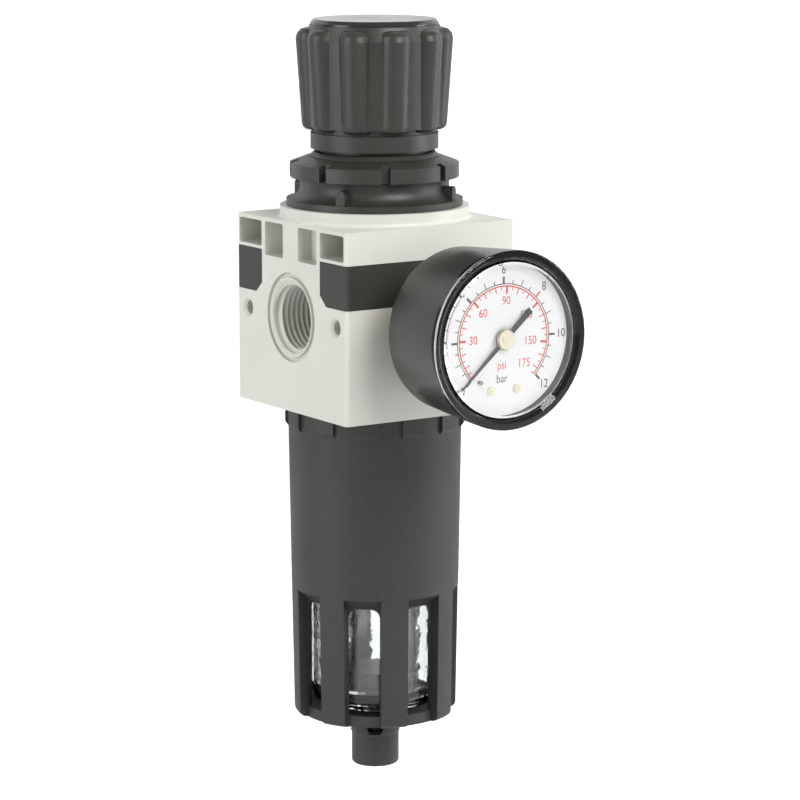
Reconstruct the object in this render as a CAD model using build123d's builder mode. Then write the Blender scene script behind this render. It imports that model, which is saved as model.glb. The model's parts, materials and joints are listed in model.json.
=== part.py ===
from build123d import *
import math
import os

# Filter regulator for compressed air, with a pressure gauge on its front. Millimetres.
# The origin is the centre of the inlet port's mouth. +X runs with the flow, +Z is up and the
# gauge looks towards -Y. Bonnet, valve, filter and bowl share one upright column axis.

# Clearances
FIT = 0.05            # radial play where one piece locates, slides or turns in another
GAP = 0.3             # space between pieces that move past each other without touching

# Body casting
BODY_LENGTH = 46.0    # port face to port face
BODY_DEPTH = 48.0     # front face to rear face
BODY_HEIGHT = 44.0
BODY_EDGE_R = 1.0
BOSS_R = 22.0
BOSS_HEIGHT = 2.8
BOSS_ROOT_R = 0.8

# Inlet and outlet ports, G 3/8
PORT_R = 8.33
PORT_DEPTH = 12.0
PORT_CHAMFER = 0.55
PORT_RING_R = 9.2     # inner radius of the groove around the mouth
PORT_RING_WIDTH = 1.2
PORT_RING_DEPTH = 0.8
BOLT_Y = 19.2         # M4 holes beside each port
BOLT_R = 1.65
BOLT_MOUTH_R = 2.3
BOLT_DEPTH = 8.0
DROP_X = 10.0         # inlet passage down to the filter
DROP_R = 3.2
RISE_R = 2.6          # passage from the valve chamber to the outlet
RISE_Z = 4.6

# Pockets in each port face, behind them the round core of the casting
CORE_R = 19.6
POCKET_CORNER_R = 0.6
OUTER_POCKET = (17.8, 18.15, 10.0, 5.9)   # centre across, centre height, width, height
INNER_POCKET = (7.3, 17.25, 8.0, 7.9)
POCKET_WEB = 2.0      # web left between the pockets of the two faces

# Black cover panels let into the front and the rear
PANEL_BOTTOM = 4.4
PANEL_HEIGHT = 10.0
PANEL_THICKNESS = 2.0
PANEL_WING_Y = 12.8   # how near the port axis the wings reach
PANEL_CUT_Y = 2.7
PANEL_CUT_Z = 2.4
PANEL_SEAM = 0.1

# Flow arrow sunk into the front, above the panel
ARROW_Z = 18.95
ARROW_TAIL_X = -7.8
ARROW_NOTCH_X = -5.5
ARROW_NECK_X = 5.4
ARROW_TIP_X = 8.9
ARROW_TAIL_HALF = 1.95
ARROW_NECK_HALF = 0.95
ARROW_HEAD_HALF = 2.4
ARROW_DEPTH = 0.45

# Gauge ports, G 1/8, front and rear
GAUGE_PORT_R = 4.86
GAUGE_PORT_DEPTH = 8.5
GAUGE_PORT_CHAMFER = 0.5
GAUGE_PORT_LAND_R = 7.0
GAUGE_PASSAGE_R = 1.0
GAUGE_PASSAGE_Z = 3.3
PLUG_HEX = 5.0        # across flats
PLUG_HEX_DEPTH = 4.5
PLUG_LENGTH = 8.0

# Valve in the middle of the body
VALVE_BORE_R = 8.0
SEAT_TOP_Z = 1.5
SEAT_THICKNESS = 2.5
SEAT_ORIFICE_R = 3.6
SEAT_LIP_R = 4.4
SEAT_LIP_HEIGHT = 0.6
WELL_R = 7.0
GUIDE_BORE_R = 5.2
GUIDE_LOWER_R = 7.5
GUIDE_LENGTH = 18.0
GUIDE_FLOOR = 2.0
GUIDE_HOLES = 4
GUIDE_HOLE_R = 1.1
GUIDE_HOLE_RING_R = 3.7
STUD_R = 2.5
STUD_BOTTOM_Z = -61.5
POPPET_HEAD = 1.8
POPPET_STEM_R = 3.2
POPPET_LENGTH = 6.4
STEM_R = 1.5
STEM_BUSH_Z = 10.5
STEM_BUSH_THICKNESS = 3.0
STEM_BUSH_PILOT_R = 0.7
STEM_BUSH_PILOT_RING_R = 4.4
VALVE_SPRING_R = 4.0
VALVE_SPRING_WIRE = 0.7
VALVE_SPRING_TURNS = 4.0

# Diaphragm and the plates that ride on it
CLAMP_Z = 18.0
DIAPHRAGM_THICKNESS = 1.0
DIAPHRAGM_CHAMBER_R = 14.0
DIAPHRAGM_CHAMBER_FLOOR_Z = 14.4
CONVOLUTION_R = 11.7
CONVOLUTION_HALF = 1.3
CONVOLUTION_WALL = 0.7
PLATE_R = 9.5
PLATE_THICKNESS = 1.8
PLATE_BOSS_HEIGHT = 1.5
RELIEF_R = 5.5
RELIEF_THICKNESS = 1.6
RELIEF_NECK_R = 2.9
RELIEF_VENT_R = 1.0

# Bonnet, its panel nut and what turns inside it
BONNET_SPIGOT_R = 17.0
BONNET_FLANGE_R = 20.5
BONNET_FLANGE_HEIGHT = 1.6
BONNET_WALL_R = 19.7
BONNET_SHOULDER_R = 17.7
BONNET_SHOULDER_HEIGHT = 6.4    # from the boss to the shoulder that a panel rests on
BONNET_THREAD_R = 15.0          # M30 x 1.5
BONNET_THREAD_HEIGHT = 6.0
BONNET_THREAD_CHAMFER = 0.9
BONNET_NECK_R = 12.7
BONNET_NECK_HEIGHT = 14.8
BONNET_ROOF = 2.5
BONNET_BORE_R = 10.6
BONNET_LUGS = 4
BONNET_LUG_ANGLE = -146.0
BONNET_LUG_WIDTH = 2.2
BONNET_LUG_HEIGHT = 3.4
BONNET_LUG_ROOT_R = 17.0
BONNET_LUG_R = 19.9
NUT_R = 19.62
NUT_SIDE = 3.3
NUT_CONE = 1.5
NUT_LIFT = 0.2        # the nut stands this far off the shoulder
NUT_TOP_R = 15.6
NUT_SLOTS = 8
NUT_SLOT_ANGLE = -115.0
NUT_SLOT_WIDTH = 2.0
NUT_SLOT_DEPTH = 1.8
SCREW_R = 4.0
SCREW_COLLAR_R = 8.5
SCREW_COLLAR = 2.1
SCREW_JOURNAL_R = 5.25
SCREW_HEX = 9.0       # across flats
SCREW_HEX_HEIGHT = 8.3
SCREW_LENGTH = 15.0   # threaded shank below the collar
THRUST_WASHER = 0.5
SPRING_NUT_R = 10.3
SPRING_NUT_HEIGHT = 4.0
SPRING_NUT_DROP = 0.4
KEY_WIDTH = 4.0
KEY_DEPTH = 1.0
RANGE_SPRING_R = 8.2
RANGE_SPRING_WIRE = 2.4
RANGE_SPRING_TURNS = 4.5

# Knob
KNOB_BOTTOM_Z = 38.04
KNOB_SKIRT_R = 14.83
KNOB_SKIRT_HEIGHT = 3.66
KNOB_GROOVE_R = 14.2
KNOB_GROOVE_HEIGHT = 1.4
KNOB_FOOT_R = 15.4
KNOB_SHOULDER_R = 16.0
KNOB_GRIP_HEIGHT = 20.2
KNOB_CROWN_R = 15.0
KNOB_CROWN_HEIGHT = 3.2
LOBES = 10
LOBE_ANGLE = -104.0
LOBE_ROOT_R = 14.0   # inside this radius the lobes end in the knob's wall
LOBE_FOOT_R = 16.83
LOBE_TOP_R = 18.2
LOBE_FOOT_ROUND = 3.6
LOBE_TOP_ROUND = 3.75
LOBE_EDGE = 1.6       # rounding of a lobe's lower edge
LOBE_SHOULDER = 2.5   # rounding of its upper edge
LOBE_DRAW_IN = 0.4    # how far a lobe's sides draw in along those roundings, as a share of them
LOBE_OVERHANG = 0.9   # how far the lobes reach down past the knob's wall
KNOB_ROOF = 3.0
KNOB_BOSS_R = 8.8
KNOB_LIFT = 3.0
KNOB_LEDGE = 3.8      # height of the hexagonal part of the socket
KNOB_POCKET_R = 6.8
CAP_SPIGOT_R = 12.2
CAP_SPIGOT = 1.5
CAP_SEAM = 0.05
CAP_R = 14.86
CAP_RIM = 0.4
CAP_TOP_R = 14.11
CAP_CHAMFER = 0.8
KNOB_SCREW_R = 1.65
KNOB_SCREW_LENGTH = 7.0
KNOB_SCREW_HEAD_R = 3.5
KNOB_SCREW_HEAD = 2.2
KNOB_WASHER_R = 6.2
KNOB_WASHER = 0.8
KNOB_SCREW_SLOT = 1.0

# Bayonet between the body and the bowl guard
LUGS = 4
LUG_ARC = 26.0        # degrees
LUG_SLOT_ARC = 30.0   # gap in the body's ledge that a lug passes through
LUG_TURN = 45.0       # how far the guard turns to come free
LUG_R = 20.6
LUG_HEIGHT = 2.0
LEDGE_HEIGHT = 1.8
GUARD_NECK_R = 19.1
GUARD_NECK_WALL = 1.5
BOWL_BORE_R = 16.4
CHAMBER_TOP_Z = -11.0

# Guard around the bowl
GUARD_TOP_R = 20.4
GUARD_MIDDLE_R = 19.77
GUARD_MIDDLE_Z = -62.0
GUARD_FOOT_R = 19.2
GUARD_FOOT_Z = -96.3
GUARD_WALL = 2.2
GUARD_FLOOR = 2.0
GUARD_OPENING_R = 7.5
GUARD_FOOT_FILLET = 1.5
BOWL_SHELF_Z = -24.6
BOWL_SHELF = 2.0
PADS = 12
PAD_ANGLE = -157.5
PAD_ARC = 15.0
PAD_R = 21.1
PAD_HEIGHT = 5.0
PAD_SLOPE = 1.0
WINDOWS = 8
WINDOW_ARC = 25.0
WINDOW_ANGLE = 3.4
WINDOW_TOP_Z = -68.0
WINDOW_BOTTOM_Z = -93.7
WINDOW_CORNER_R = 2.2
CHANNEL_ARC = 26.0
CHANNEL_R = 17.3
CHANNEL_TOP_Z = -64.8
CHANNEL_SLOPE = 2.9

# Bowl
BOWL_TOP_Z = -13.5
BOWL_R = 15.9
BOWL_FOOT_R = 15.6
BOWL_WALL = 2.0
BOWL_FLANGE_R = 17.3
BOWL_FLANGE = 2.0
BOWL_BOTTOM_Z = -93.9
BOWL_FLOOR = 2.4
BOWL_CORNER_R = 4.0
BOWL_RING_Z = -15.8
BOWL_RING_CORD = 1.5

# Filter
DEFLECTOR_HUB_R = 9.3
DEFLECTOR_R = 13.6
VANES = 10
VANE_TOP_Z = -15.5
VANE_HEIGHT = 6.5
VANE_THICKNESS = 1.1
VANE_LEAN = 40.0      # degrees from upright
FILTER_TOP_Z = -26.0
FILTER_LENGTH = 30.0
FILTER_R = 10.5
FILTER_BORE_R = 7.0
BAFFLE_R = 12.6
BAFFLE_PLATE = 2.0
BAFFLE_SKIRT = 5.0
BAFFLE_WALL = 1.2
BAFFLE_HUB_R = 4.5

# Drain
DRAIN_HOLE_R = 3.2
DRAIN_STEM_BORE_R = 1.2
DRAIN_PORT_R = 0.7    # cross hole that lets water into the stem
DRAIN_CAP_R = 8.0
DRAIN_CAP_TOP_Z = -85.7
DRAIN_CAP_RIM = 3.1
DRAIN_CAP_HUB_R = 4.5
DRAIN_SEAL = 1.1
DRAIN_SEAL_R = 5.6
DRAIN_KNOB_TOP_Z = -97.3
DRAIN_KNOB_BOTTOM_Z = -109.3
DRAIN_COLLAR_R = 5.83
DRAIN_COLLAR_HEIGHT = 4.5
DRAIN_COLLAR_SLOPE = 0.5
DRAIN_KNOB_R = 5.6
DRAIN_KNOB_EDGE_R = 0.8
DRAIN_POCKET_R = 4.9
DRAIN_POCKET_DEPTH = 3.7
DRAIN_OUTLET_R = 2.0
DRAIN_STEM_SOCKET = 3.0
DRAIN_NOTCHES = 4
DRAIN_NOTCH_ANGLE = -123.0
DRAIN_NOTCH_DEPTH = 4.0
DRAIN_NOTCH_WIDTH = 7.0
DRAIN_NOTCH_FLOOR = 2.6
DRAIN_SPRING_R = 4.0
DRAIN_SPRING_WIRE = 0.8
DRAIN_SPRING_TURNS = 2.5

# Pressure gauge: places along its axis are distances forward of the column axis
GAUGE_BACK = 34.07
GAUGE_FRONT = 55.75
GAUGE_BACK_R = 18.6
GAUGE_FRONT_R = 20.09
GAUGE_WALL = 1.8
CASE_FRONT = 53.9     # where the black case ends and the lens's rim begins
GAUGE_EDGE_R = 0.5
GAUGE_SQUARE = 11.0   # wrench square, across flats
GAUGE_GASKET = 1.0
GAUGE_GASKET_R = 6.8
STEM_NECK_R = 5.0
STEM_BORE_R = 1.5
STEM_BLOCK_WIDTH = 10.0
STEM_BLOCK_TOP = 4.0
STEM_BLOCK_BOTTOM = -14.0
LENS_FRONT = 55.3
LENS_THICKNESS = 1.2
LENS_R = 17.3
LENS_WINDOW_R = 16.8
LENS_SPIGOT_R = 18.5
LENS_SPIGOT_DEPTH = 3.3
LENS_GROOVE_R = 17.4
LENS_GROOVE = 0.5
DIAL_FRONT = 52.0
DIAL_THICKNESS = 0.6
DIAL_R = 17.2
DIAL_HOLE_R = 1.4
DIAL_SCREW_X = 3.5
DIAL_SCREW_Z = -11.3
DIAL_SCREW_R = 0.9
DIAL_SCREW_HEAD = 0.5
DIAL_SCREW_SLOT = 0.3
STOP_PIN_R = 0.45
STOP_PIN_RING_R = 11.2
STOP_PIN_ANGLE = 235.0
STOP_PIN_HEIGHT = 0.9
POINTER_ANGLE = -138.0
POINTER_TIP = 15.5
POINTER_TAIL = 9.1
POINTER_TAIL_WIDTH = 1.4
POINTER_NECK_WIDTH = 1.0
POINTER_TIP_WIDTH = 0.35
POINTER_THICKNESS = 0.3
POINTER_LIFT = 0.65   # above the dial
HUB_R = 2.4
HUB_HEIGHT = 0.5
HUB_BUTTON_R = 1.1
HUB_BUTTON_HEIGHT = 0.2

# Gauge movement
GEAR_MODULE = 0.35
PINION_TEETH = 8
SECTOR_EQUIVALENT_TEETH = 56
SECTOR_TEETH = 10
TOOTH_SHARE = 0.36    # tooth thickness as a share of the pitch, the rest is play
GEAR_BACK = 44.6
GEAR_THICKNESS = 1.2
PINION_FACE = 1.8
ARBOR_R = 0.6
SECTOR_PIVOT_ANGLE = 200.0
SECTOR_SWING = 270.0 * PINION_TEETH / SECTOR_EQUIVALENT_TEETH
SECTOR_RIM = 1.2
SECTOR_HUB_R = 1.8
SECTOR_ARM_WIDTH = 2.4
LINK_ARM = 3.0        # from the sector's pivot to the link's pin
LINK_WIDTH = 1.6
LINK_THICKNESS = 0.5
LINK_PIN_R = 0.4
FRAME_BACK = 42.6
FRAME_PLATE = 1.0
FRAME_GAP = 4.0
FRAME_LEFT = -13.4
FRAME_RIGHT = 5.2
FRAME_BOTTOM = -9.4
FRAME_TOP = 4.6
PILLAR_R = 1.2
PILLARS = ((3.5, 3.0), (3.5, -6.0), (-9.5, -8.0), (-12.2, -1.0))
TUBE_R = 12.6
TUBE_THICKNESS = 1.8
TUBE_WIDTH = 4.2
TUBE_BACK = 37.6
TUBE_START = -100.0
TUBE_ARC = 265.0

# Places worked out from the sizes above
COLUMN_X = BODY_LENGTH / 2
BODY_TOP = BODY_HEIGHT / 2
BODY_BOTTOM = -BODY_HEIGHT / 2
BOSS_TOP = BODY_TOP + BOSS_HEIGHT
COLUMN = Axis((COLUMN_X, 0, 0), (0, 0, 1))
SECTION = Plane(origin=(COLUMN_X, 0, 0), x_dir=(1, 0, 0), z_dir=(0, -1, 0))
GAUGE_AXIS = Axis((COLUMN_X, 0, 0), (0, -1, 0))
GAUGE_SECTION = Plane(origin=(COLUMN_X, 0, 0), x_dir=(1, 0, 0), z_dir=(0, 0, -1))
INLET_FACE = Plane(origin=(0, 0, 0), x_dir=(0, -1, 0), z_dir=(-1, 0, 0))
OUTLET_FACE = Plane(origin=(BODY_LENGTH, 0, 0), x_dir=(0, 1, 0), z_dir=(1, 0, 0))
FRONT_FACE = Plane(origin=(COLUMN_X, -BODY_DEPTH / 2, 0), x_dir=(1, 0, 0), z_dir=(0, -1, 0))
REAR_FACE = Plane(origin=(COLUMN_X, BODY_DEPTH / 2, 0), x_dir=(-1, 0, 0), z_dir=(0, 1, 0))
PORT_FACES = (INLET_FACE, OUTLET_FACE)

SEAT_BOTTOM_Z = SEAT_TOP_Z - SEAT_THICKNESS
POPPET_TOP_Z = SEAT_BOTTOM_Z - SEAT_LIP_HEIGHT
POPPET_R = GUIDE_BORE_R - GAP
GUIDE_BOTTOM_Z = SEAT_BOTTOM_Z - GUIDE_LENGTH
GUIDE_FLOOR_Z = GUIDE_BOTTOM_Z + GUIDE_FLOOR
DIAPHRAGM_TOP_Z = CLAMP_Z + DIAPHRAGM_THICKNESS
RELIEF_BOTTOM_Z = CLAMP_Z - RELIEF_THICKNESS
PLATE_TOP_Z = DIAPHRAGM_TOP_Z + PLATE_THICKNESS
PLATE_BOSS_R = RANGE_SPRING_R - RANGE_SPRING_WIRE / 2 - GAP

FLANGE_TOP_Z = BOSS_TOP + BONNET_FLANGE_HEIGHT
SHOULDER_Z = BOSS_TOP + BONNET_SHOULDER_HEIGHT
THREAD_TOP_Z = SHOULDER_Z + BONNET_THREAD_HEIGHT
BONNET_TOP_Z = THREAD_TOP_Z + BONNET_NECK_HEIGHT
ROOF_Z = BONNET_TOP_Z - BONNET_ROOF
COLLAR_TOP_Z = ROOF_Z - THRUST_WASHER
COLLAR_BOTTOM_Z = COLLAR_TOP_Z - SCREW_COLLAR
NUT_BOTTOM_Z = SHOULDER_Z + NUT_LIFT
SPRING_NUT_TOP_Z = COLLAR_BOTTOM_Z - SPRING_NUT_DROP
SPRING_NUT_BOTTOM_Z = SPRING_NUT_TOP_Z - SPRING_NUT_HEIGHT
HEX_BOTTOM_Z = BONNET_TOP_Z + GAP
HEX_TOP_Z = HEX_BOTTOM_Z + SCREW_HEX_HEIGHT

GRIP_BOTTOM_Z = KNOB_BOTTOM_Z + KNOB_SKIRT_HEIGHT + KNOB_GROOVE_HEIGHT
GRIP_TOP_Z = GRIP_BOTTOM_Z + KNOB_GRIP_HEIGHT
CROWN_Z = GRIP_TOP_Z + KNOB_CROWN_HEIGHT
LEDGE_TOP_Z = HEX_TOP_Z - KNOB_LIFT - GAP
KNOB_BORE_R = BONNET_NECK_R + GAP

MOUTH_R = GUARD_NECK_R + GAP
LUG_GROOVE_R = LUG_R + GAP
LEDGE_TOP = BODY_BOTTOM + LEDGE_HEIGHT
LUG_BOTTOM_Z = LEDGE_TOP + GAP
LUG_TOP_Z = LUG_BOTTOM_Z + LUG_HEIGHT
GROOVE_TOP_Z = LUG_TOP_Z + GAP
COLLAR_Z = BODY_BOTTOM - GAP
BOWL_NECK_R = BOWL_BORE_R - GAP

FLOOR_Z = BOWL_BOTTOM_Z + BOWL_FLOOR
SEAL_TOP_Z = FLOOR_Z + DRAIN_SEAL
CAP_RIM_BOTTOM_Z = DRAIN_CAP_TOP_Z - DRAIN_CAP_RIM
DRAIN_STEM_R = DRAIN_HOLE_R - GAP
DRAIN_POCKET_Z = DRAIN_KNOB_TOP_Z - DRAIN_POCKET_DEPTH

DIAL_BACK = DIAL_FRONT - DIAL_THICKNESS
CASE_BACK_INSIDE = GAUGE_BACK + GAUGE_WALL
LENS_SEAT = LENS_FRONT - LENS_SPIGOT_DEPTH
POINTER_BACK = DIAL_FRONT + POINTER_LIFT
PINION_R = GEAR_MODULE * PINION_TEETH / 2
SECTOR_R = GEAR_MODULE * SECTOR_EQUIVALENT_TEETH / 2
GEAR_CENTRES = PINION_R + SECTOR_R
FRAME_FRONT = FRAME_BACK + 2 * FRAME_PLATE + FRAME_GAP
TOOTH_ROOT = 1.25 * GEAR_MODULE
TOOTH_STEP = 360 / SECTOR_EQUIVALENT_TEETH
ARM_ANGLE = SECTOR_PIVOT_ANGLE - 180 - SECTOR_SWING / 2
DIAL_SCREWS = ((DIAL_SCREW_X, DIAL_SCREW_Z), (-DIAL_SCREW_X, DIAL_SCREW_Z))


def level(height):
    """Horizontal plane centred on the column axis."""
    return Plane(origin=(COLUMN_X, 0, height))


def facing(forward, spot=(0, 0), angle=0):
    """Upright plane across the gauge axis, looking at the viewer, moved to spot and turned by angle."""
    turn = math.radians(angle)
    origin = (COLUMN_X + spot[0], -forward, spot[1])
    return Plane(origin=origin, x_dir=(math.cos(turn), 0, math.sin(turn)), z_dir=(0, -1, 0))


def spot_at(radius, angle, centre=(0, 0)):
    """Point at a radius and an angle from centre, in a facing plane."""
    turn = math.radians(angle)
    return (centre[0] + radius * math.cos(turn), centre[1] + radius * math.sin(turn))


def section_at(angle):
    """Half plane through the column axis, turned by angle: across it runs the radius, up it the height."""
    turn = math.radians(angle)
    outward = (math.cos(turn), math.sin(turn), 0)
    return Plane(origin=(COLUMN_X, 0, 0), x_dir=outward, z_dir=(math.sin(turn), -math.cos(turn), 0))


def outward_at(angle, radius, height):
    """Plane square to a radius of the column, at that radius, facing outward with its Y up."""
    turn = math.radians(angle)
    spot = (COLUMN_X + radius * math.cos(turn), radius * math.sin(turn), height)
    return Plane(origin=spot, x_dir=(-math.sin(turn), math.cos(turn), 0), z_dir=(math.cos(turn), math.sin(turn), 0))


def angles(count, first):
    """Evenly spaced angles around a circle."""
    return [first + 360 * step / count for step in range(count)]


PIVOT_SPOT = spot_at(GEAR_CENTRES, SECTOR_PIVOT_ANGLE)
LINK_SPOT = spot_at(LINK_ARM, ARM_ANGLE, PIVOT_SPOT)
TIP_SPOT = spot_at(TUBE_R, TUBE_START + TUBE_ARC)


def tooth(pitch_r, angle):
    """Straight-sided gear tooth standing on its pitch circle, at angle around it."""
    half = TOOTH_SHARE * math.pi * GEAR_MODULE / 2
    foot = pitch_r - TOOTH_ROOT - GEAR_MODULE / 2
    tip = pitch_r + GEAR_MODULE
    with BuildSketch(Plane.XY) as outline:
        with BuildLine():
            Polyline(
                (foot, -half), (pitch_r, -half), (tip, -half / 2), (tip, half / 2), (pitch_r, half),
                (foot, half), close=True,
            )
        make_face()
    return outline.sketch.rotate(Axis.Z, angle)


def cover_panel(side, seam):
    """U-shaped cover on the front (side -1) or rear (side 1), with its free edges moved out by seam."""
    reach = BODY_DEPTH / 2 + PANEL_WING_Y - seam
    with BuildPart() as piece:
        with BuildSketch(level(PANEL_BOTTOM - seam)):
            RectangleRounded(BODY_LENGTH, BODY_DEPTH, BODY_EDGE_R)
            Rectangle(BODY_LENGTH - 2 * PANEL_THICKNESS, BODY_DEPTH - 2 * PANEL_THICKNESS, mode=Mode.SUBTRACT)
            with Locations((0, -side * (BODY_DEPTH - reach) / 2)):
                Rectangle(BODY_LENGTH, reach, mode=Mode.SUBTRACT)
        extrude(amount=PANEL_HEIGHT + 2 * seam)
        wing_corner = (COLUMN_X, side * (PANEL_WING_Y - seam), PANEL_BOTTOM - seam)
        with BuildSketch(Plane(origin=wing_corner, x_dir=(0, side, 0), z_dir=(side, 0, 0))):
            with BuildLine():
                Polyline((0, 0), (PANEL_CUT_Y, 0), (0, PANEL_CUT_Z), close=True)
            make_face()
        extrude(amount=BODY_LENGTH / 2, both=True, mode=Mode.SUBTRACT)
        with BuildSketch(FRONT_FACE if side < 0 else REAR_FACE):
            Circle(GAUGE_PORT_LAND_R + PANEL_SEAM - seam)
        extrude(amount=-PANEL_THICKNESS, mode=Mode.SUBTRACT)
    return piece


def coil_spring(mean_r, wire, bottom, top, turns):
    """Compression spring of round wire whose ends lie against bottom and top."""
    rise = top - bottom - wire
    start = (COLUMN_X + mean_r, 0, bottom + wire / 2)
    with BuildPart() as piece:
        with BuildLine() as centre_line:
            Helix(rise / turns, rise, mean_r, center=(COLUMN_X, 0, bottom + wire / 2))
        with BuildSketch(Plane(origin=start, x_dir=(1, 0, 0), z_dir=centre_line.line % 0)):
            Circle(wire / 2)
        sweep(path=centre_line.line, is_frenet=True)
    return piece


def rounded_end(height, reach, bar, edge, angle):
    """Height, reach and radius of a lobe's bar at an angle round its end, whose rounding starts at height."""
    turn = math.radians(angle)
    inward = edge * (1 - math.cos(turn))
    return height + edge * math.sin(turn), reach - inward, bar - LOBE_DRAW_IN * inward


def ring(plane, axis, inner, outer, back, front):
    """Plain turned ring between two radii and two places along its axis."""
    with BuildPart() as piece:
        with BuildSketch(plane):
            with BuildLine():
                Polyline((inner, back), (outer, back), (outer, front), (inner, front), close=True)
            make_face()
        revolve(axis=axis)
    return piece


# Pockets in the port faces, stopped by the round core
with BuildPart() as side_pockets:
    for face in PORT_FACES:
        with BuildSketch(face):
            for across, height, width, tall in (OUTER_POCKET, INNER_POCKET):
                with Locations((across, height), (-across, height)):
                    RectangleRounded(width, tall, POCKET_CORNER_R)
        extrude(amount=-(BODY_LENGTH - POCKET_WEB) / 2)
    with BuildSketch(level(BODY_BOTTOM)):
        Circle(CORE_R)
    extrude(amount=BODY_HEIGHT, mode=Mode.SUBTRACT)

front_panel = cover_panel(-1, 0)
rear_panel = cover_panel(1, 0)
front_recess = cover_panel(-1, PANEL_SEAM)
rear_recess = cover_panel(1, PANEL_SEAM)

# Body casting
with BuildPart() as body:
    with BuildSketch(level(BODY_BOTTOM)):
        RectangleRounded(BODY_LENGTH, BODY_DEPTH, BODY_EDGE_R)
    extrude(amount=BODY_HEIGHT)
    with BuildSketch(level(BODY_TOP)):
        Circle(BOSS_R)
    extrude(amount=BOSS_HEIGHT)
    boss_root = body.edges().filter_by(GeomType.CIRCLE).filter_by(lambda e: e.radius > BOSS_R - FIT)
    fillet(boss_root.sort_by(Axis.Z)[0], BOSS_ROOT_R)
    with BuildSketch(SECTION):
        with BuildLine():
            Polyline(
                (0, BODY_BOTTOM), (MOUTH_R, BODY_BOTTOM), (MOUTH_R, LEDGE_TOP),
                (LUG_GROOVE_R, LEDGE_TOP), (LUG_GROOVE_R, GROOVE_TOP_Z), (BOWL_BORE_R, GROOVE_TOP_Z),
                (BOWL_BORE_R, CHAMBER_TOP_Z), (VALVE_BORE_R, CHAMBER_TOP_Z), (VALVE_BORE_R, SEAT_TOP_Z),
                (WELL_R, SEAT_TOP_Z), (WELL_R, DIAPHRAGM_CHAMBER_FLOOR_Z),
                (DIAPHRAGM_CHAMBER_R, DIAPHRAGM_CHAMBER_FLOOR_Z), (DIAPHRAGM_CHAMBER_R, CLAMP_Z),
                (BONNET_SPIGOT_R, CLAMP_Z), (BONNET_SPIGOT_R, BOSS_TOP), (0, BOSS_TOP), close=True,
            )
        make_face()
    revolve(axis=COLUMN, mode=Mode.SUBTRACT)
    for angle in angles(LUGS, LUG_TURN - LUG_SLOT_ARC / 2):
        with BuildSketch(section_at(angle)):
            with BuildLine():
                Polyline(
                    (GUARD_NECK_R, BODY_BOTTOM), (LUG_GROOVE_R, BODY_BOTTOM),
                    (LUG_GROOVE_R, LEDGE_TOP), (GUARD_NECK_R, LEDGE_TOP), close=True,
                )
            make_face()
        revolve(axis=COLUMN, revolution_arc=LUG_SLOT_ARC, mode=Mode.SUBTRACT)
    for face in PORT_FACES:
        with BuildSketch(face):
            Circle(PORT_R)
        extrude(amount=-PORT_DEPTH, mode=Mode.SUBTRACT)
        mouth = body.edges().filter_by(GeomType.CIRCLE).filter_by(lambda e: abs(e.radius - PORT_R) < FIT)
        chamfer(mouth.sort_by_distance(face.origin)[0], PORT_CHAMFER)
        with BuildSketch(face):
            Circle(PORT_RING_R + PORT_RING_WIDTH)
            Circle(PORT_RING_R, mode=Mode.SUBTRACT)
        extrude(amount=-PORT_RING_DEPTH, mode=Mode.SUBTRACT)
        with Locations(face):
            with GridLocations(2 * BOLT_Y, 0, 2, 1):
                CounterSinkHole(BOLT_R, BOLT_MOUTH_R, BOLT_DEPTH)
    with BuildSketch(Plane(origin=(DROP_X, 0, CHAMBER_TOP_Z))):
        Circle(DROP_R)
    extrude(amount=-CHAMBER_TOP_Z - PORT_R / 2, mode=Mode.SUBTRACT)
    with BuildSketch(Plane(origin=(COLUMN_X, 0, RISE_Z), x_dir=(0, 1, 0), z_dir=(1, 0, 0))):
        Circle(RISE_R)
    extrude(amount=BODY_LENGTH / 2 - PORT_DEPTH + PORT_CHAMFER, mode=Mode.SUBTRACT)
    for face in (FRONT_FACE, REAR_FACE):
        with BuildSketch(face):
            Circle(GAUGE_PORT_R)
        extrude(amount=-GAUGE_PORT_DEPTH, mode=Mode.SUBTRACT)
        mouth = body.edges().filter_by(GeomType.CIRCLE).filter_by(lambda e: abs(e.radius - GAUGE_PORT_R) < FIT)
        chamfer(mouth.sort_by_distance(face.origin)[0], GAUGE_PORT_CHAMFER)
        with BuildSketch(face):
            with Locations((0, GAUGE_PASSAGE_Z)):
                Circle(GAUGE_PASSAGE_R)
        extrude(amount=-(BODY_DEPTH / 2 - WELL_R / 2), mode=Mode.SUBTRACT)
    add(side_pockets.part, mode=Mode.SUBTRACT)
    add(front_recess.part, mode=Mode.SUBTRACT)
    add(rear_recess.part, mode=Mode.SUBTRACT)
    with BuildSketch(FRONT_FACE):
        with Locations((0, ARROW_Z)):
            with BuildLine():
                Polyline(
                    (ARROW_TAIL_X, ARROW_TAIL_HALF), (ARROW_NECK_X, ARROW_NECK_HALF),
                    (ARROW_NECK_X, ARROW_HEAD_HALF), (ARROW_TIP_X, 0), (ARROW_NECK_X, -ARROW_HEAD_HALF),
                    (ARROW_NECK_X, -ARROW_NECK_HALF), (ARROW_TAIL_X, -ARROW_TAIL_HALF),
                    (ARROW_NOTCH_X, 0), close=True,
                )
            make_face()
    extrude(amount=-ARROW_DEPTH, mode=Mode.SUBTRACT)

# Plug in the rear gauge port, with a hexagon socket
with BuildPart() as rear_port_plug:
    with BuildSketch(REAR_FACE.offset(-PLUG_LENGTH)):
        Circle(GAUGE_PORT_R - FIT)
    extrude(amount=PLUG_LENGTH - GAUGE_PORT_CHAMFER)
    with BuildSketch(REAR_FACE):
        RegularPolygon(PLUG_HEX / 2, 6, major_radius=False)
    extrude(amount=-PLUG_HEX_DEPTH, mode=Mode.SUBTRACT)

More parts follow.
